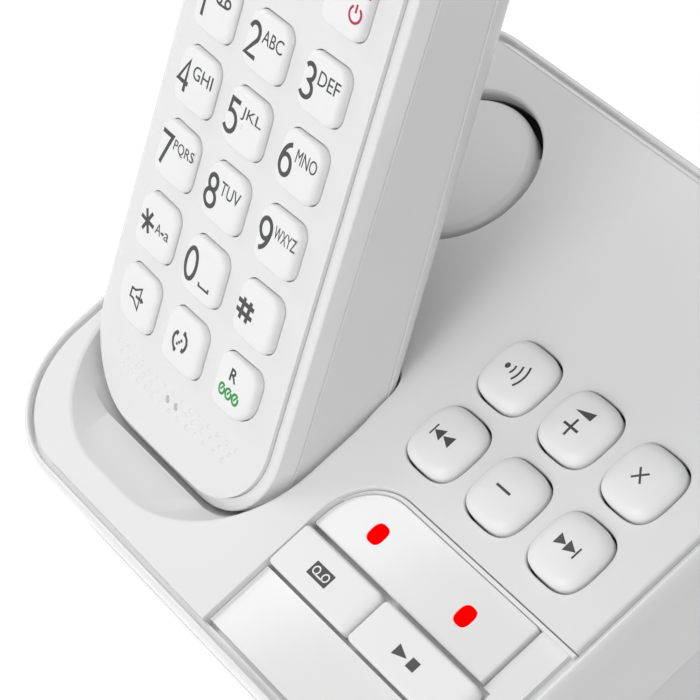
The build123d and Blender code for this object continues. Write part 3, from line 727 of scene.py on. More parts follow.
CLOUD_SCALE = 60.0
GRAIN_SCALE = 2600.0
GRAIN_DEPTH = 0.0002
ROUGHNESS_SPREAD = 0.12
COAT_ROUGHNESS = 0.08

# Name, tone, roughness, coat, grain, tone spread, metal and glow
# A tone's name stands for one of the user's colours
FINISHES = {
    "gloss": ("white gloss plastic", "gloss", 0.12, 1.0, 0.0),
    "shell": ("white shell plastic", "shell", 0.42, 0.1, 0.04),
    "side": ("pale grey side plastic", "side", 0.32, 0.35, 0.03),
    "key": ("white key plastic", "key", 0.42, 0.1, 0.04, 0.02),
    "ink": ("grey ink", "ink", 0.5, 0.0, 0.02, 0.1),
    "crimson": ("crimson ink", (0.46, 0.015, 0.075), 0.5, 0.0, 0.02, 0.06),
    "green": ("green ink", (0.01, 0.30, 0.05), 0.5, 0.0, 0.02, 0.06),
    "lamp": ("red lamp plastic", "lamp", 0.6, 0.0, 0.0, 0.05, 0.0, 0.6),
    "metal": ("speaker steel", (0.5, 0.5, 0.52), 0.4, 0.0, 0.05, 0.1, 0.9),
    "board": ("circuit board", (0.04, 0.22, 0.09), 0.45, 0.2, 0.05, 0.2),
    "rubber": ("key mat rubber", (0.5, 0.5, 0.5), 0.7, 0.0, 0.06, 0.06),
    "contact": ("plated contact", (0.78, 0.76, 0.72), 0.22, 0.0, 0.02, 0.06, 1.0),
    "socket": ("dark socket plastic", (0.045, 0.045, 0.048), 0.5, 0.0, 0.05, 0.1),
    "foot": ("grey foot rubber", (0.17, 0.17, 0.17), 0.8, 0.0, 0.12, 0.1),
    "screw": ("screw steel", (0.56, 0.56, 0.57), 0.33, 0.0, 0.03, 0.1, 1.0),
    "panel": ("display panel", (0.42, 0.48, 0.42), 0.4, 0.3, 0.0, 0.05),
    "mask": ("display mask ink", (0.2, 0.2, 0.21), 0.35, 0.3, 0.0, 0.05),
    "sleeve": ("cell sleeve", (0.16, 0.4, 0.26), 0.35, 0.3, 0.01, 0.08),
    "window": ("clear window", (0.95, 0.96, 0.96), 0.06, 0.0, 0.0, 0.01),
}
# A lamp without a mirror shine and a clear window
SPECIAL = {"lamp": {"Specular IOR Level": 0.0}, "window": {"Transmission Weight": 1.0, "IOR": 1.45}}


def grain_group():
    """Shared node group: soft tone clouds, roughness drift and fine moulded grain."""
    found = bpy.data.node_groups.get("moulded grain")
    if found:
        return found
    group = bpy.data.node_groups.new("moulded grain", "ShaderNodeTree")
    for way, kind, names in (
        ("INPUT", "Color", ("Colour",)),
        ("INPUT", "Float", ("Tone Spread", "Roughness", "Roughness Spread", "Cloud Scale", "Grain Scale")),
        ("OUTPUT", "Color", ("Colour",)),
        ("OUTPUT", "Float", ("Roughness", "Height")),
    ):
        for name in names:
            group.interface.new_socket(name, in_out=way, socket_type="NodeSocket" + kind)
    given = group.nodes.new("NodeGroupInput").outputs
    place = group.nodes.new("ShaderNodeTexCoord").outputs["Object"]
    clouds, grain = (
        add_node(group, "ShaderNodeTexNoise", {"Vector": place, "Scale": given[scale], "Detail": detail})
        for scale, detail in (("Cloud Scale", 3.0), ("Grain Scale", 2.0))
    )
    drift = worked(group, "SUBTRACT", clouds.outputs["Fac"], 0.5)
    tone = worked(group, "MULTIPLY_ADD", drift, given["Tone Spread"], 1.0)
    tint = add_node(group, "ShaderNodeVectorMath", {0: given["Colour"], "Scale": tone}, operation="SCALE")
    add_node(group, "NodeGroupOutput", {
        "Colour": tint.outputs[0],
        "Roughness": worked(group, "MULTIPLY_ADD", drift, given["Roughness Spread"], given["Roughness"]),
        "Height": grain.outputs["Fac"],
    })
    return group


def moulded(name, tone, roughness, coat, grain, spread=0.03, metallic=0.0, glow=0.0):
    """Material of a moulded or plated piece with its own tone drift and grain."""
    found = bpy.data.materials.get(name)
    if found:
        return found
    material = bpy.data.materials.new(name)
    material.use_nodes = True
    tree = material.node_tree
    group = add_node(tree, "ShaderNodeGroup", {
        "Colour": (*tone, 1.0), "Tone Spread": spread, "Roughness": roughness,
        "Roughness Spread": ROUGHNESS_SPREAD, "Cloud Scale": CLOUD_SCALE, "Grain Scale": GRAIN_SCALE,
    }, node_tree=grain_group()).outputs
    relief = {"Strength": grain, "Distance": GRAIN_DEPTH, "Height": group["Height"]}
    bump = add_node(tree, "ShaderNodeBump", relief)
    shader = tree.nodes["Principled BSDF"]
    wire(tree, shader, {
        "Base Color": group["Colour"], "Roughness": group["Roughness"], "Normal": bump.outputs["Normal"],
        "Metallic": metallic, "Coat Weight": coat, "Coat Roughness": COAT_ROUGHNESS,
    })
    if glow:
        wire(tree, shader, {"Emission Color": group["Colour"], "Emission Strength": glow})
    material.diffuse_color = (*tone, 1.0)
    return material


def finish(name):
    """Material of one of the phone's finishes."""
    label, tone, *rest = FINISHES[name]
    if isinstance(tone, str):
        tone = getattr(bpy.context.scene.phone_finishes, tone)
    material = moulded(label, tone, *rest)
    wire(material.node_tree, material.node_tree.nodes["Principled BSDF"], SPECIAL.get(name, {}))
    return material


# Geometry Nodes

def tree_with(name, sizes):
    """New geometry tree with a geometry input, named sizes, a material and a geometry output."""
    tree = bpy.data.node_groups.new(name, "GeometryNodeTree")
    kinds = {float: "NodeSocketFloat", int: "NodeSocketInt"}
    tree.interface.new_socket("Geometry", in_out="INPUT", socket_type="NodeSocketGeometry")
    for label, value in sizes.items():
        tree.interface.new_socket(label, in_out="INPUT", socket_type=kinds[type(value)])
    tree.interface.new_socket("Material", in_out="INPUT", socket_type="NodeSocketMaterial")
    tree.interface.new_socket("Geometry", in_out="OUTPUT", socket_type="NodeSocketGeometry")
    return tree, tree.nodes.new("NodeGroupInput").outputs


def end_tree(tree, given, points, form, turn=(0, 0, 0)):
    """Ends a tree in real copies of a form on points, with the material."""
    placing = {"Points": points, "Instance": form, "Rotation": turn}
    copies = add_node(tree, "GeometryNodeInstanceOnPoints", placing)
    real = add_node(tree, "GeometryNodeRealizeInstances", {0: copies.outputs[0]})
    painting = {"Geometry": real.outputs[0], "Material": given["Material"]}
    paint = add_node(tree, "GeometryNodeSetMaterial", painting)
    add_node(tree, "NodeGroupOutput", {0: paint.outputs[0]})
    return tree


def grown(name, mesh, tree, sizes, material):
    """Mesh that a geometry tree makes from a mesh and its sizes."""
    thing = put(name, mesh)
    modifier = thing.modifiers.new("grow", "NODES")
    modifier.node_group = tree
    values = {**sizes, "Material": material}
    for item in tree.interface.items_tree:
        if item.in_out == "INPUT" and item.name in values:
            modifier[item.identifier] = values[item.name]
    mesh = take(settle(thing))
    if not mesh.polygons:
        raise RuntimeError(f"the tree made nothing for {name}")
    return mesh


def cylinder(tree, steps, radius, depth):
    """Cylinder in a geometry tree."""
    sizes = {"Vertices": steps, "Radius": radius, "Depth": depth}
    return add_node(tree, "GeometryNodeMeshCylinder", sizes).outputs[0]


def dimple_tree(sizes):
    """Three staggered rows of balls that follow the crowned face, for cutting dimples."""
    tree, given = tree_with("microphone dimples", sizes)
    pitch = given["Pitch"]
    rows = []
    for row in range(3):
        count = worked(tree, "SUBTRACT", given["Count"], row)
        spread = worked(tree, "MULTIPLY", worked(tree, "SUBTRACT", count, 1), -0.5)
        start = worked(tree, "ADD", worked(tree, "MULTIPLY", spread, pitch), given["Middle"])
        drop = worked(tree, "MULTIPLY", given["Row Pitch"], -row)
        first = triple(tree, start, drop, 0)
        step = triple(tree, pitch, 0, 0)
        line = add_node(
            tree, "GeometryNodeMeshLine", {"Count": count, "Start Location": first, "Offset": step}
        )
        rows.append(line.outputs[0])
    place = tree.nodes.new("GeometryNodeInputPosition").outputs[0]
    across = add_node(tree, "ShaderNodeSeparateXYZ", {0: place}).outputs[0]
    twice = worked(tree, "MULTIPLY", given["Crown"], -2)
    sag = worked(tree, "DIVIDE", worked(tree, "MULTIPLY", across, across), twice)
    lift = triple(tree, 0, 0, worked(tree, "ADD", sag, given["Lift"]))
    joined = add_node(tree, "GeometryNodeJoinGeometry", {0: rows}).outputs[0]
    bend = add_node(tree, "GeometryNodeSetPosition", {"Geometry": joined, "Offset": lift})
    round_form = {"Segments": 14, "Rings": 10, "Radius": given["Radius"]}
    ball = add_node(tree, "GeometryNodeMeshUVSphere", round_form)
    return end_tree(tree, given, bend.outputs[0], ball.outputs[0])


def rib_tree(sizes):
    """Rounded grip ribs in even rows."""
    tree, given = tree_with("grip ribs", sizes)
    step = triple(tree, 0, worked(tree, "MULTIPLY", given["Pitch"], -1), 0)
    line = add_node(tree, "GeometryNodeMeshLine", {"Count": given["Rows"], "Offset": step})
    bar = cylinder(tree, 16, given["Radius"], given["Length"])
    return end_tree(tree, given, line.outputs[0], bar, (0, math.pi / 2, 0))


def screw_tree(sizes):
    """A cross-slot screw at each point, its head at the point and its shank along Z."""
    tree, given = tree_with("screws", sizes)
    radius = given["Head Radius"]
    tall = given["Head Height"]
    shank = given["Shank Length"]

    def shifted(form, height, share):
        """A form raised by a share of a height."""
        rise = triple(tree, 0, 0, worked(tree, "MULTIPLY", height, share))
        return add_node(tree, "GeometryNodeTransform", {"Geometry": form, "Translation": rise}).outputs[0]

    slots = []
    for sides in ((1.25, 0.3), (0.3, 1.25)):
        x, y = (worked(tree, "MULTIPLY", radius, side) for side in sides)
        slot = add_node(tree, "GeometryNodeMeshCube", {"Size": triple(tree, x, y, tall)})
        slots.append(shifted(slot.outputs[0], tall, -0.5))
    head = cylinder(tree, 28, radius, tall)
    cut = add_node(tree, "GeometryNodeMeshBoolean", {0: head, 1: slots}, operation="DIFFERENCE").outputs[0]
    shaft = shifted(cylinder(tree, 16, given["Shank Radius"], shank), shank, 0.5)
    both = add_node(tree, "GeometryNodeJoinGeometry", {0: [cut, shaft]})
    return end_tree(tree, given, given["Geometry"], both.outputs[0])


def points_mesh(points):
    """Mesh of loose points."""
    mesh = bpy.data.meshes.new("points")
    mesh.from_pydata(points, [], [])
    return mesh


def islands(node, place):
    """Lowest and highest corner of each separate solid of a CAD node, in a local frame."""
    form = bmesh.new()
    form.from_mesh(frame["nodes"][node].data)
    bmesh.ops.transform(form, matrix=place.inverted(), verts=form.verts)
    bmesh.ops.remove_doubles(form, verts=form.verts, dist=0.001)
    left = set(form.verts)
    found = []
    while left:
        stack = [left.pop()]
        members = []
        while stack:
            vertex = stack.pop()
            members.append(vertex.co.copy())
            for edge in vertex.link_edges:
                other = edge.other_vert(vertex)
                if other in left:
                    left.remove(other)
                    stack.append(other)
        found.append(box_of(members))
    form.free()
    return sorted(found, key=lambda pair: (round(pair[0].x, 3), round(pair[0].y, 3)))


def round_hole(low, high, extra, steps, ends):
    """Cutter of a round hole over a box, wider than the box by a bit, between two heights."""
    size = high.x - low.x + extra
    return loft(oval(size, size, 2.0, steps, middle_of(low, high)), [(0, end) for end in ends])


# Base

BASE_KEYS = (
    "skip_back_key", "volume_down_key", "skip_forward_key", "locator_key", "volume_up_key", "erase_key",
)
PILLOW_POWER = 3.1
RECESS_FLOOR = -3.2
RECESS_LEFT = 6.4
RECESS_BACK = -15.7
STRIP_TOP = -1.2
COVER_LOW = -2.4
# Height below which the walls under the cover begin, and their thickness
INSIDE = -1.2
WALL = 2.0
CRADLE_GAP = 0.45
# Width, depth and corner of the dish at its mouth and where it meets the handset
DISH_MOUTH = (54.4, 54.0, 22.5)
DISH_FOOT = (52.3, 50.0, 16.0)
# Angle of the dish's wall from the normal of the top, in degrees
DISH_SLOPE = 57
# Height of the dish's floor over the handset's lower end, and how far it starts in front of that end
DISH_RISE = 1.0
DISH_OVERLAP = 0.1
# Distance of the dish from the front of the base
DISH_FRONT = 6.8
LAMP_PLACES = ((16.3, -22.45), (37.9, -22.45))
STRIP_RIGHT = 47.95
STRIP_FRONT = -27.72
TRIM_BACK = -37.15
# Left and right side of each long key, and the front and back of both
ANSWER_SIDES = (RECESS_LEFT + 0.12, 26.15)
PLAY_SIDES = (26.95, 49.6)
LONG_KEY_FRONT = -36.6
LONG_KEY_BACK = -28.5
SHELF_RIGHT = 54.35
SHELF_TOP = -2.1
# Start and end of the sound slot, in degrees
SLOT_TURNS = (45.5, 175.0)
# Far enough to cut through everything, and deep enough to cut through the cover
FAR = 90
DEEP = -30


class PHONE_OT_base_rim(Operator):
    """Upper side wall of the base with its raised bead"""
    bl_idname = "phone.base_rim"
    bl_label = "Base rim"

    def execute(self, context):
        trimmed = mm("phone_base", "depth") - 0.3
        plan = rounded(mm("phone_base", "width"), trimmed, mm("phone_base", "corner"), 16, (0, 0.15))
        low = -mm("phone_base", "rim_height")
        band = -mm("phone_base", "band_height")
        wall = mm("phone_base", "cover_gap")
        bead = 0.9
        groove = -1.3
        profile = [(wall, low), (0.55, low), (0.3, low + 0.3)]
        profile += [(0.3, band - 0.35), (0.22, band - 0.12), (0.0, band)]
        profile += arc(bead, -3.4, bead, 3.4, 0, 90, 12)
        profile += arc(bead, -0.5, -0.5, 0.5, 90, 0, 6)[1:]
        profile += [(1.4, groove), (wall - 0.05, groove), (wall - 0.05, COVER_LOW), (wall + 0.6, COVER_LOW)]
        profile += [(wall + 0.6, COVER_LOW - 1.2), (wall, COVER_LOW - 1.2)]
        thing = put("base_rim", loft(plan, profile, True))
        dress(thing, SLAB, "base", ["base_bezel"], [finish("gloss")])
        return {"FINISHED"}


def cradle_tool(gap, low_round):
    """Space round the lower end of the standing handset, in the frame of the base's top."""
    width = mm("phone_handset", "width")
    tall = mm("phone_handset", "length")
    deep = mm("phone_handset", "depth") + gap
    plan = rounded(width + 2 * gap, tall + 2 * gap, mm("phone_handset", "corner") + gap, 12, (0, tall / 2))
    profile = [(0, gap), (0, low_round - deep)]
    profile += arc(low_round, low_round - deep, low_round, -low_round, 0, 90, 6)[1:]
    return moved(loft(plan, profile), SLAB.inverted() @ GRIP)


def cradle_marks():
    """Lower end of the handset and the place where its back meets the top, in the frame of the top."""
    to_slab = SLAB.inverted() @ GRIP
    seat = to_slab @ Vector((0, 0, 0))
    back = to_slab @ Vector((0, 0, -mm("phone_handset", "depth") - CRADLE_GAP))
    lean = (to_slab.to_3x3() @ Vector((0, 1, 0))).normalized()
    # Where the back of the standing handset meets the top plane
    back_y = back.y - lean.y / lean.z * back.z
    return seat, back_y


def dish_tool(grow, flare):
    """Sloping dish in front of the cradle, with a soft mouth."""
    seat, back_y = cradle_marks()
    slope = math.radians(DISH_SLOPE)
    floor = seat.z + DISH_RISE - grow
    front = -mm("phone_base", "depth") / 2 + DISH_FRONT

    def widened(sizes, y):
        """Outline of the given width, depth and corner, grown all round."""
        width, depth, corner = sizes
        return rounded(width + 2 * grow, depth + 2 * grow, corner + grow, 16, (seat.x, y))

    upper = widened(DISH_MOUTH, front + DISH_MOUTH[1] / 2)
    lower = widened(DISH_FOOT, seat.y + DISH_FOOT[1] / 2 - DISH_OVERLAP)
    fall = math.pi / 2 - slope
    tangent = flare * math.tan(fall / 2)
    foot = -floor * math.tan(slope)
    knee = flare * math.sin(fall) - tangent

    def plan(inset):
        """Outline of the dish, which turns below its soft mouth into the outline of the handset."""
        share = max((inset - knee) / (foot - knee), 0.0)
        return [
            (a + (c - a) * share, b + (d - b) * share)
            for (a, b), (c, d) in zip(upper(min(inset, knee)), lower(0))
        ]

    plan.centre = upper.centre
    profile = [(foot, floor)]
    for step in range(8, -1, -1):
        turn = fall * step / 8
        profile.append((-tangent + flare * math.sin(turn), 0.012 - flare + flare * math.cos(turn)))
    profile.append((-tangent, 3.0))
    tool = put("dish", loft(plan, profile))
    carve(tool, [box_mesh((-80, back_y + grow, -60), (80, 90, 60))])
    return take(tool)


def recess_plan(left, back, corner):
    """Plan of the front recess, pulled in at its left and back, that runs out at the right and front."""
    return rounded(120, 120, corner, 12, (RECESS_LEFT + left + 60, RECESS_BACK - back - 60))


def column(plan, inset):
    """Solid of a plan, pulled in, that reaches past the cover and the recess."""
    return loft(plan, [(inset, -40), (inset, 10)])


class PHONE_OT_base_cover(Operator):
    """Top cover with the cradle, the front recess, the key holes and the sound outlet"""
    bl_idname = "phone.base_cover"
    bl_label = "Base cover"

    def execute(self, context):
        gap = mm("phone_base", "cover_gap")
        width = mm("phone_base", "width") - 2 * gap
        depth = mm("phone_base", "depth") - 2 * gap
        corner = mm("phone_base", "corner") - gap
        plan = rounded(width, depth, corner, 16)
        profile = [(0, COVER_LOW), (0, -0.5)] + arc(0.5, -0.5, 0.5, 0.5, 0, 90, 5)
        plate = put("base_cover", loft(plan, profile))
        walls = []
        for mesh in (cradle_tool(CRADLE_GAP + WALL, 4.6), dish_tool(WALL, 0.3)):
            wall = put("wall", mesh)
            carve(wall, [box_mesh((-FAR, -FAR, -FAR), (FAR, FAR, INSIDE))], "INTERSECT")
            walls.append(take(wall))
        low = (RECESS_LEFT - WALL, -80, RECESS_FLOOR - 1.2)
        shell = put("shell", box_mesh(low, (80, RECESS_BACK + WALL, INSIDE)))
        carve(shell, [column(plan, 0.02)], "INTERSECT")
        carve(plate, walls + [take(shell)], "UNION")
        carve(plate, [loft(recess_plan(0.0, 0.0, 10.1), flared(RECESS_FLOOR, 0.15))])
        profile = [(0, RECESS_FLOOR - 0.3), (0, -0.8), (0.1, -0.7)]
        ledge = put("ledge", loft(recess_plan(0.15, 0.15, 9.95), profile))
        carve(ledge, [loft(recess_plan(0.02, 0.8, 9.6), [(0, -20), (0, 5)])])
        floor = RECESS_FLOOR - 0.3
        shelf = box_mesh((48.4, -27.9, floor), (SHELF_RIGHT, RECESS_BACK - 0.5, SHELF_TOP))
        end = box_mesh((50.0, -60.0, floor), (SHELF_RIGHT, -27.5, SHELF_TOP))
        carve(ledge, [shelf, end], "UNION")
        carve(ledge, [column(plan, 0.02)], "INTERSECT")
        carve(plate, [take(ledge)], "UNION")
        carve(plate, [cradle_tool(CRADLE_GAP, 3.4)])
        carve(plate, [dish_tool(0.0, 1.6)])
        cap = local_box("speaker_cap", SLAB)
        middle = (cap[0] + cap[1]) / 2
        outlet = 2 * mm("phone_base", "outlet_radius")
        tools = [loft(oval(outlet, outlet, 2.0, 72, (middle.x, middle.y)), flared(DEEP, 0.7))]
        size = mm("phone_base", "key_size") + 2 * mm("phone_base", "key_gap")
        for name in BASE_KEYS:
            place = middle_of(*local_box(name, SLAB))
            tools.append(loft(oval(size, size, PILLOW_POWER, 56, place), flared(DEEP, 0.3)))
        carve(plate, tools)
        dress(plate, SLAB, "base", ["base_top_cover"], [finish("shell")])
        return {"FINISHED"}


class PHONE_OT_base_keys(Operator):
    """Six pillow keys of the base with their legends"""
    bl_idname = "phone.base_keys"
    bl_label = "Base keys"

    def execute(self, context):
        size = mm("phone_base", "key_size")
        top = mm("phone_base", "key_proud")
        rise = 0.35
        edge = 2.2
        for name in BASE_KEYS:
            low, high = local_box(name, SLAB)
            place = Matrix.Translation((*middle_of(low, high), 0))
            plan = oval(size, size, PILLOW_POWER, 64)
            profile = [(0, low.z), (0, top - 1.7)] + arc(edge, top - 1.7, edge, 1.7, 0, 78, 9)
            last_inset, last_height = profile[-1]
            profile += dome(last_inset, last_height, rise, (0.93, 0.82, 0.7, 0.56, 0.42, 0.28, 0.14, 0.03))
            half = size / 2 - last_inset

            def surface(x, y, half=half, base=last_height):
                total = abs(x / half) ** PILLOW_POWER + abs(y / half) ** PILLOW_POWER
                share = min(total ** (1 / PILLOW_POWER), 1)
                return base + rise * (1 - share * share)

            legend = Legend()
            draw_base(legend, name)
            mesh = merged([loft(plan, profile), legend.laid(surface)])
            thing = put(name.replace("_key", "_pillow"), moved(mesh, place))
            dress(thing, SLAB, name, [name], [finish("key"), finish("ink")])
        return {"FINISHED"}


class PHONE_OT_front_recess(Operator):
    """Lamp strip, lamps, long keys and trim strip of the front recess"""
    bl_idname = "phone.front_recess"
    bl_label = "Front recess"

    def execute(self, context):
        low = local_box("lamp_strip", SLAB)[0]
        left = RECESS_LEFT + 0.07
        back = RECESS_BACK - 0.85
        middle = middle_of((left, STRIP_FRONT), (STRIP_RIGHT, back))
        plan = rounded(STRIP_RIGHT - left, back - STRIP_FRONT, (0.4, 9.55, 0.4, 0.4), 12, middle)
        edge = arc(0.25, STRIP_TOP - 0.25, 0.25, 0.25, 0, 90, 4)
        strip = put("lamp_plate", loft(plan, [(0, low.z)] + edge))
        tools = []
        domes = []
        for x, y in LAMP_PLACES:
            hole = oval(3.15, 3.45, 2.8, 40, (x, y))
            tools.append(moved(loft(hole, flared(DEEP, 0.08)), Matrix.Translation((0, 0, STRIP_TOP))))
            lens = oval(3.0, 3.3, 2.8, 40, (x, y))
            profile = [(0, STRIP_TOP - 1.6), (0, STRIP_TOP - 0.05), (0.15, STRIP_TOP + 0.08)]
            domes.append(loft(lens, profile + dome(0.15, STRIP_TOP + 0.08, 0.12, (0.85, 0.6, 0.35, 0.1))))
        carve(strip, tools)
        dress(strip, SLAB, "base", ["lamp_strip"], [finish("gloss")])
        thing = put("lamp_domes", merged(domes))
        dress(thing, SLAB, "base", ["indicator_lamps"], [finish("lamp")])
        low, high = local_box("base_trim_strip", SLAB)
        trim = put("trim_plate", box_mesh((RECESS_LEFT + 0.1, low.y, low.z), (high.x, TRIM_BACK, STRIP_TOP)))
        inset = mm("phone_base", "cover_gap") + 0.05
        plan = rounded(mm("phone_base", "width"), mm("phone_base", "depth"), mm("phone_base", "corner"), 16)
        carve(trim, [column(plan, inset)], "INTERSECT")
        soften(trim, 0.25, 3)
        dress(trim, SLAB, "base", ["base_trim_strip"], [finish("gloss")])
        self.long_key("answer_key", *ANSWER_SIDES)
        self.long_key("play_key", *PLAY_SIDES)
        return {"FINISHED"}

    def long_key(self, name, left, right):
        """One flat key, level with the cover, whose right end is rounded over."""
        low, high = local_box(name, SLAB)
        width = right - left
        plan = rounded(width, LONG_KEY_BACK - LONG_KEY_FRONT, (1.2, 0.8, 0.8, 1.2), 6)

        def bent(height):
            def at(x, y):
                over = max(x - (width / 2 - 1.6), 0) / 1.6
                return height - 0.55 * over * over
            return at

        floor = RECESS_FLOOR + 0.9
        edge = [(inset, bent(height)) for inset, height in arc(0.55, -0.55, 0.55, 0.55, 0, 90, 6)]
        profile = [(0, floor)] + edge + [(1.1, bent(0.0)), (1.7, bent(0.0))]
        middle = middle_of((left, LONG_KEY_FRONT), (right, LONG_KEY_BACK))
        key = moved(loft(plan, profile), Matrix.Translation((*middle, 0)))
        legend = Legend()
        draw_base(legend, name)
        # The legend sits a little to the right of the middle of the solid key
        spot = Matrix.Translation(((low.x + high.x) / 2 + 0.62, (low.y + high.y) / 2 - 0.12, 0))
        mesh = merged([key, moved(legend.laid(lambda x, y: 0.0), spot)])
        thing = put(name.replace("_key", "_bar"), mesh)
        dress(thing, SLAB, name, [name], [finish("key"), finish("ink")])


class PHONE_OT_sound_cap(Operator):
    """Round cap over the loudspeaker"""
    bl_idname = "phone.sound_cap"
    bl_label = "Sound cap"

    def execute(self, context):
        low, high = local_box("speaker_cap", SLAB)
        middle = (low + high) / 2
        radius = mm("phone_base", "cap_radius")
        flange = (high.x - low.x) / 2 - radius
        plan = oval(2 * radius, 2 * radius, 2.0, 96, (middle.x, middle.y))
        profile = [(-flange, low.z), (-flange, COVER_LOW), (0, COVER_LOW), (0, -1.3)]
        profile += arc(1.0, -1.3, 1.0, 1.3, 0, 90, 8)[1:]
        inset = profile[-1][0]
        profile += [(inset, 0.0, 0.97), (inset, 0.0, 0.5)]
        thing = put("sound_cap", loft(plan, profile))
        carve(thing, [self.slot(middle, radius, radius + flange + 1.0)])
        dress(thing, SLAB, "base", ["speaker_cap"], [finish("shell")])
        return {"FINISHED"}

    def slot(self, middle, inner, outer):
        """Cutter of the curved sound slot behind the cap."""
        start, end = SLOT_TURNS
        points = curve(middle.x, middle.y, outer, outer, start, end, 24)
        points += curve(middle.x, middle.y, inner, inner, end, start, 24)

        def plan(inset):
            return points

        plan.centre = (middle.x, middle.y)
        return loft(plan, [(0, DEEP), (0, COVER_LOW + 0.4)])


class PHONE_OT_base_housing(Operator):
    """Lower housing with its socket openings, and its feet"""
    bl_idname = "phone.base_housing"
    bl_label = "Base housing"

    def execute(self, context):
        low, high = local_box("base_lower_housing", UPRIGHT)
        thing = put("base_housing", self.wedge(0.0, low.z, high.y, 1.6))
        carve(thing, [self.wedge(2.4, low.z + 2.4, high.y, 0.5)])
        tools = []
        for foot_low, foot_high in islands("rubber_feet", UPRIGHT):
            tools.append(round_hole(foot_low, foot_high, 0.3, 40, (-2, foot_high.z)))
        for screw_low, screw_high in islands("base_screws", UPRIGHT):
            tools.append(round_hole(screw_low, screw_high, -1.2, 32, (-2, screw_low.z + 2.0)))
        for node in ("line_jack", "power_jack"):
            jack_low, jack_high = local_box(node, UPRIGHT)
            gap = Vector((0.1, 3.0, 0.1))
            tools.append(box_mesh(jack_low - gap, jack_high + gap))
        carve(thing, tools)
        dress(thing, UPRIGHT, "base", ["base_lower_housing"], [finish("side")], 35)
        feet = []
        for foot_low, foot_high in islands("rubber_feet", UPRIGHT):
            size = foot_high.x - foot_low.x
            profile = [(1.6, 0.0), (1.2, 0.0), (0.6, 0.0)]
            profile += arc(0.6, 0.6, 0.6, -0.6, 90, 0, 4)[1:] + [(0, foot_high.z)]
            feet.append(loft(oval(size, size, 2.0, 40, middle_of(foot_low, foot_high)), profile))
        pads = put("foot_pads", merged(feet))
        dress(pads, UPRIGHT, "base", ["rubber_feet"], [finish("foot")])
        return {"FINISHED"}

    def wedge(self, inset, floor, back, edge):
        """Solid between the rim's seam and the floor, with the upright back wall."""
        gap = 0.5 + inset
        width = mm("phone_base", "width")
        plan = rounded(width, mm("phone_base", "depth"), mm("phone_base", "corner"), 16)
        seam = -mm("phone_base", "rim_height") + (3.0 if inset else 0.0)
        solid = put("wedge", moved(loft(plan, [(gap, -190), (gap, seam)]), UPRIGHT.inverted() @ SLAB))
        block = rounded(width - 2 * gap, 240, 14.0 - inset, 12, (0, back - inset - 120))
        profile = [(edge, floor)] + arc(edge, floor + edge, edge, edge, -90, 0, 5)[1:] + [(0, floor + 240)]
        carve(solid, [loft(block, profile)], "INTERSECT")
        return take(solid)


class PHONE_OT_screws(Operator):
    """Screws of the base and of the handset"""
    bl_idname = "phone.screws"
    bl_label = "Screws"

    def execute(self, context):
        for node, body, place, name in (
            ("base_screws", "base", UPRIGHT, "base_cross_screws"),
            ("handset_screws", "handset", GRIP, "handset_cross_screws"),
        ):
            found = islands(node, place)
            low, high = found[0]
            radius = (high.x - low.x) / 2
            sizes = {
                "Head Radius": radius, "Head Height": 1.6, "Shank Radius": radius * 0.5,
                "Shank Length": (high.z - low.z) * 0.9,
            }
            spots = [((a.x + b.x) / 2, (a.y + b.y) / 2, a.z + 0.8) for a, b in found]
            mesh = grown(name, points_mesh(spots), screw_tree(sizes), sizes, finish("screw"))
            thing = put(name, mesh)
            dress(thing, place, body, [node], [finish("screw")])
        return {"FINISHED"}


# Handset

FACE_LIFT = 0.45
# Height of the side seam at a place along the handset, and its slope
SEAM_HEIGHT = -15.3
SEAM_PLACE = 91.0
SEAM_SLOPE = 0.0464
RIM_LOW = -5.0
DOOR_TRAVEL = 8.0
# Place of the upper row of dimples along the handset
DIMPLE_PLACE = 12.87
KEY_CORNER = 2.2
MIC_HOLES = ((-1.1, 11.4), (1.3, 11.4))
ROUND_KEYS = {"speaker_key": (2.2, 2.2, 4.6, 2.2), "recall_key": (2.2, 2.2, 2.2, 4.6)}


def face_height(u):
    """Height of the crowned face at a distance from its middle line."""
    crown = mm("phone_handset", "crown")
    return FACE_LIFT + math.sqrt(crown * crown - u * u) - crown


def seam_height(x, y):
    """Height of the inclined seam between the side wall and the back cover."""
    return SEAM_HEIGHT - SEAM_SLOPE * (SEAM_PLACE - y)


def handset_plan(steps=14):
    """Outline of the handset in its own frame."""
    tall = mm("phone_handset", "length")
    return rounded(mm("phone_handset", "width"), tall, mm("phone_handset", "corner"), steps, (0, tall / 2))


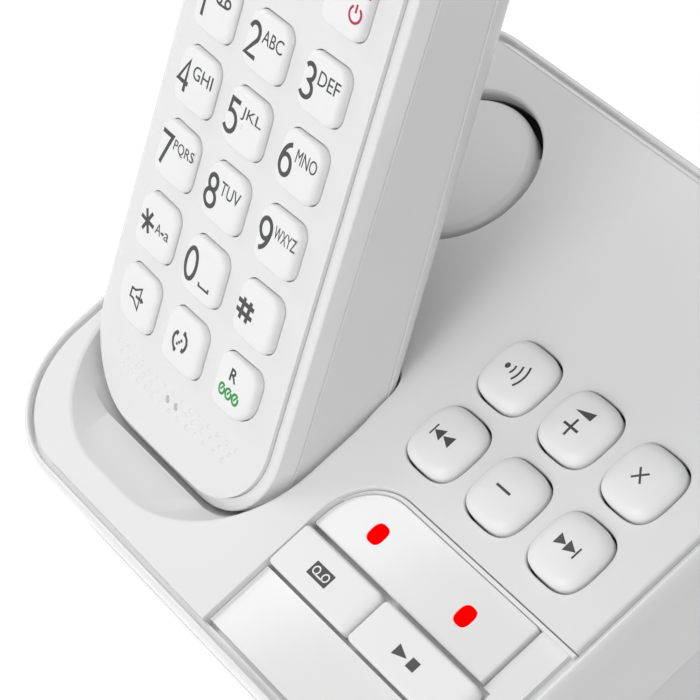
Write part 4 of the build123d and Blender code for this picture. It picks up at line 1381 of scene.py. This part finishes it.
class PHONE_OT_handset_shells(Operator):
    """Rim, side wall and back of the handset"""
    bl_idname = "phone.handset_shells"
    bl_label = "Handset shells"

    def execute(self, context):
        plan = handset_plan()
        rim = mm("phone_handset", "rim_width")
        profile = [(0.25, RIM_LOW), (0.0, RIM_LOW + 0.2), (0.34, -2.0), (0.38, -1.8)]
        profile += arc(1.9, -1.72, 1.5, 0.42, 0, 90, 8)
        profile += [(rim - 0.15, -1.33), (rim, -1.36), (rim, -3.0), (rim + 2.5, -3.0), (rim + 2.5, RIM_LOW)]
        thing = put("handset_rim", loft(plan, profile, True))
        dress(thing, GRIP, "handset", ["handset_bezel"], [finish("gloss")])

        def above(step):
            return lambda x, y: seam_height(x, y) + step

        profile = [(1.8, above(0.0)), (0.25, above(0.0)), (0.0, above(0.22))]
        profile += [(0.0, RIM_LOW - 0.22), (0.25, RIM_LOW), (1.8, RIM_LOW)]
        thing = put("handset_side", loft(plan, profile, True))
        dress(thing, GRIP, "handset", ["handset_rear_shell"], [finish("side")])
        self.back(plan)
        return {"FINISHED"}

    def back(self, plan):
        """Back cover whose rounding grows towards the upper end."""
        deep = mm("phone_handset", "depth")
        form = bmesh.new()
        rings = []
        base = plan(0)
        for step in range(-2, 12):
            ring = []
            turn = math.radians(max(step, 0) * 90 / 11)
            for index, (x, y) in enumerate(base):
                seam = seam_height(x, y)
                radius = deep + seam
                inset = radius * (1 - math.cos(turn))
                z = seam - radius * math.sin(turn)
                if step == -2:
                    inset = 0.25
                    z = seam
                if step == -1:
                    inset = 0.0
                    z = seam - 0.22
                if step == 0:
                    z = seam - 0.3
                px, py = plan(inset)[index]
                ring.append(form.verts.new((px, py, z)))
            rings.append(ring)
        skin(form, rings)
        bmesh.ops.recalc_face_normals(form, faces=form.faces)
        thing = put("handset_back", as_mesh(form))
        door_low, door_high = local_box("battery_door", GRIP)
        low = -deep
        bay = middle_of(door_low, door_high)
        wide = door_high.x - door_low.x + 0.5
        tall = door_high.y - door_low.y + DOOR_TRAVEL + 0.5
        seat = rounded(wide, tall, 4.25, 8, (bay[0], bay[1] - DOOR_TRAVEL / 2))
        mouth = [(inset, -height) for inset, height in flared(-1.9, 0.35)]
        tools = [moved(loft(seat, mouth), Matrix.Translation((0, 0, low)))]
        tools.append(loft(rounded(33.6, 66.0, 1.0, 4, bay), [(0, low - 2), (0, 0)]))
        for screw_low, screw_high in islands("handset_screws", GRIP):
            tools.append(round_hole(screw_low, screw_high, 0.5, 32, (low - 2, screw_low.z + 2.0)))
        carve(thing, tools)
        dress(thing, GRIP, "handset", ["handset_back_cover"], [finish("side")])


class PHONE_OT_handset_face(Operator):
    """Crowned face panel with its key holes, window, sound slots and microphone dimples"""
    bl_idname = "phone.handset_face"
    bl_label = "Handset face"

    def execute(self, context):
        tall = mm("phone_handset", "length")
        width = mm("phone_handset", "width")
        inset = mm("phone_handset", "rim_width") + 0.1
        plan = handset_plan(16)
        panel = put("handset_face", loft(plan, [(inset, -3.0), (inset, 2.0)]))
        half = width / 2 + 2
        steps = 44
        across = [-half + 2 * half * step / steps for step in range(steps + 1)]
        arch = [(u, face_height(u)) for u in across]
        crown = prism([(-half, -9.0), (half, -9.0)] + arch[::-1], -5, tall + 5)
        carve(panel, [crown], "INTERSECT")
        soften(panel, 0.15, 3, 60)
        carve(panel, self.tools())
        carve(panel, [self.dimples()])
        dress(panel, GRIP, "handset", ["handset_front_shell"], [finish("shell")], 35)
        return {"FINISHED"}

    def tools(self):
        """Cutters of the key holes, the window and the sound slots."""
        made = []
        for place, width, tall, corners in handset_keys().values():
            gap = mm("phone_handset", "key_gap")
            plan = rounded(width + 2 * gap, tall + 2 * gap, tuple(corner + gap for corner in corners), 6)
            tilt = Matrix.Rotation(math.asin(place[0] / mm("phone_handset", "crown")), 4, "Y")
            shift = Matrix.Translation((place[0], place[1], face_height(place[0])))
            made.append(moved(loft(plan, flared(-8, 0.2, 0.03)), shift @ tilt))
        low, high = local_box("display_lens", GRIP)
        middle = middle_of(low, high)
        wide = high.x - low.x
        tall = high.y - low.y
        made.append(loft(rounded(wide + 0.2, tall + 0.2, 4.1, 8, middle), [(0, low.z), (0, 3)]))
        made.append(loft(rounded(wide - 4, tall - 4, 2.5, 8, middle), [(0, -9), (0, 3)]))
        ear_low, ear_high = local_box("earpiece_speaker", GRIP)
        ear = (ear_low + ear_high) / 2
        for row in (-1, 0, 1):
            slot = rounded(14.0, 1.6, 0.79, 6, (ear.x, ear.y + row * 3.2))
            made.append(moved(loft(slot, flared(-8, 0.3, 0.03)), Matrix.Translation((0, 0, FACE_LIFT))))
        for x, y in MIC_HOLES:
            made.append(loft(oval(1.1, 1.3, 2.4, 24, (x, y)), [(0, -0.15), (0, 3)]))
        return made

    def dimples(self):
        """Balls that cut the microphone's dimples."""
        settings = bpy.context.scene.phone_handset
        sizes = {
            "Count": settings.dimple_count, "Pitch": settings.dimple_pitch / MM, "Row Pitch": 1.5,
            "Middle": 0.13, "Crown": settings.crown / MM, "Radius": 0.62, "Lift": FACE_LIFT + 0.34,
        }
        mesh = grown("dimple_tools", points_mesh([(0, 0, 0)]), dimple_tree(sizes), sizes, finish("shell"))
        return moved(mesh, Matrix.Translation((0, DIMPLE_PLACE, 0)))


def handset_keys():
    """Place, width, length and corners of each handset key, from the frame."""
    found = {}
    for joint in frame["joints"]:
        name = joint["child"]
        if joint["parent"] != "handset" or name == "battery_door":
            continue
        place = middle_of(*local_box(name, GRIP))
        width = mm("phone_handset", "key_width")
        tall = mm("phone_handset", "key_length")
        corners = ROUND_KEYS.get(name, (KEY_CORNER,) * 4)
        if name == "navigator_key":
            width = tall = 13.0
            corners = (5.0,) * 4
        if name in ("left_soft_key", "right_soft_key"):
            tall = 6.4
        found[name] = (place, width, tall, corners)
    return found


class PHONE_OT_handset_keys(Operator):
    """Keys of the handset with their legends"""
    bl_idname = "phone.handset_keys"
    bl_label = "Handset keys"

    def execute(self, context):
        rise = 0.18
        edge = 0.9
        for name, (place, width, tall, corners) in handset_keys().items():
            low = local_box(name, GRIP)[0]
            top = mm("phone_handset", "key_proud") + face_height(place[0])
            plan = rounded(width, tall, corners, 7)
            profile = [(0, low.z), (0, top - edge)] + arc(edge, top - edge, edge, edge, 0, 84, 7)
            inset, height = profile[-1]
            profile += dome(inset, height, rise, (0.96, 0.85, 0.7, 0.5, 0.3, 0.1))
            half_x = width / 2 - inset
            half_y = tall / 2 - inset

            def surface(x, y, half_x=half_x, half_y=half_y, base=height):
                share = min(max(abs(x / half_x), abs(y / half_y)), 1)
                return base + rise * (1 - share * share)

            legend = Legend()
            draw_dial(legend, name)
            meshes = [loft(plan, profile), legend.laid(surface)]
            if name == "digit_5_key":
                bump = oval(0.8, 0.8, 2.0, 20, (0.15, -0.3))
                base = surface(0.15, -0.3)
                meshes.append(loft(bump, [(0, base - 0.2)] + arc(0.3, base, 0.3, 0.3, 0, 80, 5)))
            mesh = moved(merged(meshes), Matrix.Translation((place[0], place[1], 0)))
            thing = put(name.replace("_key", "_button"), mesh)
            finishes = [finish("key"), finish("ink"), finish("crimson"), finish("green")]
            dress(thing, GRIP, name, [name], finishes)
        return {"FINISHED"}


class PHONE_OT_display(Operator):
    """Clear window with its printed mask over the display"""
    bl_idname = "phone.display"
    bl_label = "Display"

    def execute(self, context):
        low, high = local_box("display_lens", GRIP)
        middle = middle_of(low, high)
        plan = rounded(high.x - low.x, high.y - low.y, 4.0, 10, middle)
        edge = face_height((high.x - low.x) / 2)
        rise = face_height(0) - edge
        profile = [(0.0, low.z), (0.0, edge - 0.2), (0.2, edge)]
        profile += dome(0.2, edge, rise, (0.85, 0.6, 0.3, 0.05))
        thing = put("display_window", loft(plan, profile))
        dress(thing, GRIP, "handset", ["display_lens"], [finish("window")])
        low, high = local_box("display_module", GRIP)
        middle = middle_of(low, high)
        wide = high.x - low.x
        tall = high.y - low.y
        module = loft(rounded(wide, tall, 1.0, 4, middle), [(0, low.z), (0, high.z - 0.1), (0.1, high.z)])
        mask = loft(
            rounded(wide - 0.4, tall - 0.4, 1.0, 4, middle),
            [(0, high.z - 0.05), (0, high.z + 0.06), (3.0, high.z + 0.06), (3.0, high.z - 0.05)], True,
        )
        for face in mask.polygons:
            face.material_index = 1
        thing = put("display_screen", merged([module, mask]))
        dress(thing, GRIP, "handset", ["display_module"], [finish("panel"), finish("mask")])
        return {"FINISHED"}


class PHONE_OT_battery_door(Operator):
    """Sliding battery door with grip ribs"""
    bl_idname = "phone.battery_door"
    bl_label = "Battery door"

    def execute(self, context):
        low, high = local_box("battery_door", GRIP)
        middle = middle_of(low, high)
        face = -mm("phone_handset", "depth")
        plan = rounded(high.x - low.x, high.y - low.y, 4.0, 8, middle)
        profile = [(2.0, face), (1.0, face)] + arc(0.6, face + 0.6, 0.6, 0.6, -90, 0, 5) + [(0, high.z)]
        door = loft(plan, profile)
        sizes = {"Rows": 4, "Pitch": 2.6, "Radius": 0.5, "Length": 16.0}
        ribs = grown("rib_bars", points_mesh([(0, 0, 0)]), rib_tree(sizes), sizes, finish("side"))
        moved(ribs, Matrix.Translation((middle[0], high.y - 6.6, face)))
        thing = put("battery_lid", merged([door, ribs]))
        dress(thing, GRIP, "battery_door", ["battery_door"], [finish("side")])
        return {"FINISHED"}


class PHONE_OT_inner_finishes(Operator):
    """Finishes of the pieces inside and of the sockets"""
    bl_idname = "phone.inner_finishes"
    bl_label = "Inner finishes"

    def execute(self, context):
        finishes = {
            "speaker_metal": "metal", "board": "board", "silicone": "rubber", "contact_metal": "contact",
            "dark_socket": "socket", "battery_sleeve": "sleeve",
        }
        for subpart in frame["record"]["subparts"]:
            kind = finishes.get(subpart["material_slot"])
            if kind is None:
                continue
            mesh = frame["nodes"][subpart["node"]].data
            mesh.materials.clear()
            mesh.materials.append(finish(kind))
        return {"FINISHED"}


# Stage

# Change of the sky's strength along each axis
SKY_LEAN = (0.24, -0.36, 0.0)
# Camera in the frame of the base's top, its place in millimetres
CAMERA_PLACE = (287.5, -61.5, 338.4)
CAMERA_RIGHT = (0.565, 0.733, -0.379)
CAMERA_BACK = (0.659, -0.124, 0.742)
LENS = 152.93
SENSOR = 36.0


class PHONE_OT_stage(Operator):
    """White floor, soft light and the camera"""
    bl_idname = "phone.stage"
    bl_label = "Stage"

    def execute(self, context):
        scene = context.scene
        scene.view_settings.view_transform = "Standard"
        mesh = bpy.data.meshes.new("floor")
        mesh.from_pydata([(-4, -4, 0), (4, -4, 0), (4, 4, 0), (-4, 4, 0)], [], [(0, 1, 2, 3)])
        floor = put("floor", mesh)
        floor.data.materials.append(self.floor_material())
        self.sky(scene)
        studio = scene.phone_studio
        self.lamp("side_lamp", (-0.968, -0.121, 0.79), (0.02, -0.02, 0.03), 0.75, studio.side_power, -38)
        self.lamp("front_lamp", (0.12, -1.0, 0.46), (0.0, 0.0, 0.05), 0.6, studio.front_power, 0)
        self.camera(scene)
        return {"FINISHED"}

    def split(self, tree, kind, light, seen):
        """Ends a tree in one shader that lights the scene and one that is seen straight on."""
        path = tree.nodes.new("ShaderNodeLightPath").outputs
        both = worked(tree, "MAXIMUM", path["Is Camera Ray"], path["Is Glossy Ray"])
        straight = worked(tree, "MAXIMUM", both, path["Is Transmission Ray"])
        mix = add_node(tree, "ShaderNodeMixShader", {0: straight, 1: light.outputs[0], 2: seen.outputs[0]})
        add_node(tree, kind, {"Surface": mix.outputs[0]})

    def floor_material(self):
        """White floor that shows white to the camera and keeps a faint shadow."""
        material = bpy.data.materials.new("studio floor")
        material.use_nodes = True
        tree = material.node_tree
        tree.nodes.clear()
        paint = add_node(tree, "ShaderNodeBsdfDiffuse", {"Color": (0.8, 0.8, 0.8, 1)})
        faint = add_node(tree, "ShaderNodeBsdfDiffuse", {"Color": (0.2, 0.2, 0.2, 1)})
        glow = add_node(tree, "ShaderNodeEmission", {"Strength": 0.88})
        seen = add_node(tree, "ShaderNodeAddShader", {0: faint.outputs[0], 1: glow.outputs[0]})
        self.split(tree, "ShaderNodeOutputMaterial", paint, seen)
        return material

    def sky(self, scene):
        """Light that is strongest at the right front, and that shows white to the camera."""
        scene.world = bpy.data.worlds.new("studio sky")
        scene.world.use_nodes = True
        tree = scene.world.node_tree
        tree.nodes.clear()
        place = tree.nodes.new("ShaderNodeTexCoord").outputs["Generated"]
        lean = add_node(tree, "ShaderNodeVectorMath", {0: place, 1: SKY_LEAN}, operation="DOT_PRODUCT")
        strength = worked(tree, "ADD", lean.outputs["Value"], scene.phone_studio.sky)
        light, seen = (
            add_node(tree, "ShaderNodeBackground", {"Color": (1, 1, 1, 1), "Strength": value})
            for value in (strength, 1.0)
        )
        self.split(tree, "ShaderNodeOutputWorld", light, seen)

    def lamp(self, name, place, target, size, power, roll):
        """A square soft lamp aimed at a target and turned about its beam."""
        light = bpy.data.lights.new(name, "AREA")
        light.size = size
        light.energy = power
        thing = bpy.data.objects.new(name, light)
        thing.location = place
        aim = (Vector(target) - Vector(place)).to_track_quat("-Z", "Y")
        thing.rotation_euler = (aim @ Quaternion((0, 0, 1), math.radians(roll))).to_euler()
        bpy.context.scene.collection.objects.link(thing)

    def camera(self, scene):
        """Camera where the photographer stood, placed in the frame of the base's top."""
        lens = bpy.data.cameras.new("camera")
        lens.lens = LENS
        lens.sensor_width = SENSOR
        lens.clip_start = 0.01
        thing = bpy.data.objects.new("camera", lens)
        right = Vector(CAMERA_RIGHT).normalized()
        back = Vector(CAMERA_BACK)
        back = (back - right * back.dot(right)).normalized()
        turn = Matrix((right, back.cross(right), back)).transposed().to_4x4()
        slab_turn = SLAB.to_3x3().normalized().to_4x4()
        thing.matrix_world = Matrix.Translation(SLAB @ Vector(CAMERA_PLACE)) @ slab_turn @ turn
        scene.collection.objects.link(thing)
        scene.camera = thing


class PHONE_PT_panel(Panel):
    """Sizes, colours and steps of the phone"""
    bl_idname = "PHONE_PT_panel"
    bl_label = "Cordless phone"
    bl_space_type = "VIEW_3D"
    bl_region_type = "UI"
    bl_category = "Phone"

    def draw(self, context):
        for group in GROUPS:
            settings = getattr(context.scene, group)
            column = self.layout.column(align=True)
            for name in settings.__annotations__:
                column.prop(settings, name)
        for operator in OPERATORS:
            self.layout.operator(operator.bl_idname)


GROUPS = {
    "phone_base": PhoneBaseSizes,
    "phone_handset": PhoneHandsetSizes,
    "phone_finishes": PhoneFinishes,
    "phone_studio": PhoneStudio,
}
OPERATORS = (
    PHONE_OT_base_rim, PHONE_OT_base_cover, PHONE_OT_base_keys, PHONE_OT_front_recess, PHONE_OT_sound_cap,
    PHONE_OT_base_housing, PHONE_OT_handset_shells, PHONE_OT_handset_face, PHONE_OT_handset_keys,
    PHONE_OT_display, PHONE_OT_battery_door, PHONE_OT_screws, PHONE_OT_inner_finishes, PHONE_OT_stage,
)


def register():
    """Registers the settings, the operators and the panel."""
    for name, group in GROUPS.items():
        bpy.utils.register_class(group)
        setattr(bpy.types.Scene, name, PointerProperty(type=group))
    for operator in OPERATORS:
        bpy.utils.register_class(operator)
    bpy.utils.register_class(PHONE_PT_panel)


def unregister():
    """Takes everything back that register added."""
    bpy.utils.unregister_class(PHONE_PT_panel)
    for operator in reversed(OPERATORS):
        bpy.utils.unregister_class(operator)
    for name, group in GROUPS.items():
        delattr(bpy.types.Scene, name)
        bpy.utils.unregister_class(group)


def main():
    """Builds every piece in order."""
    register()
    for operator in OPERATORS:
        group, name = operator.bl_idname.split(".")
        getattr(getattr(bpy.ops, group), name)()


if __name__ == "__main__":
    main()
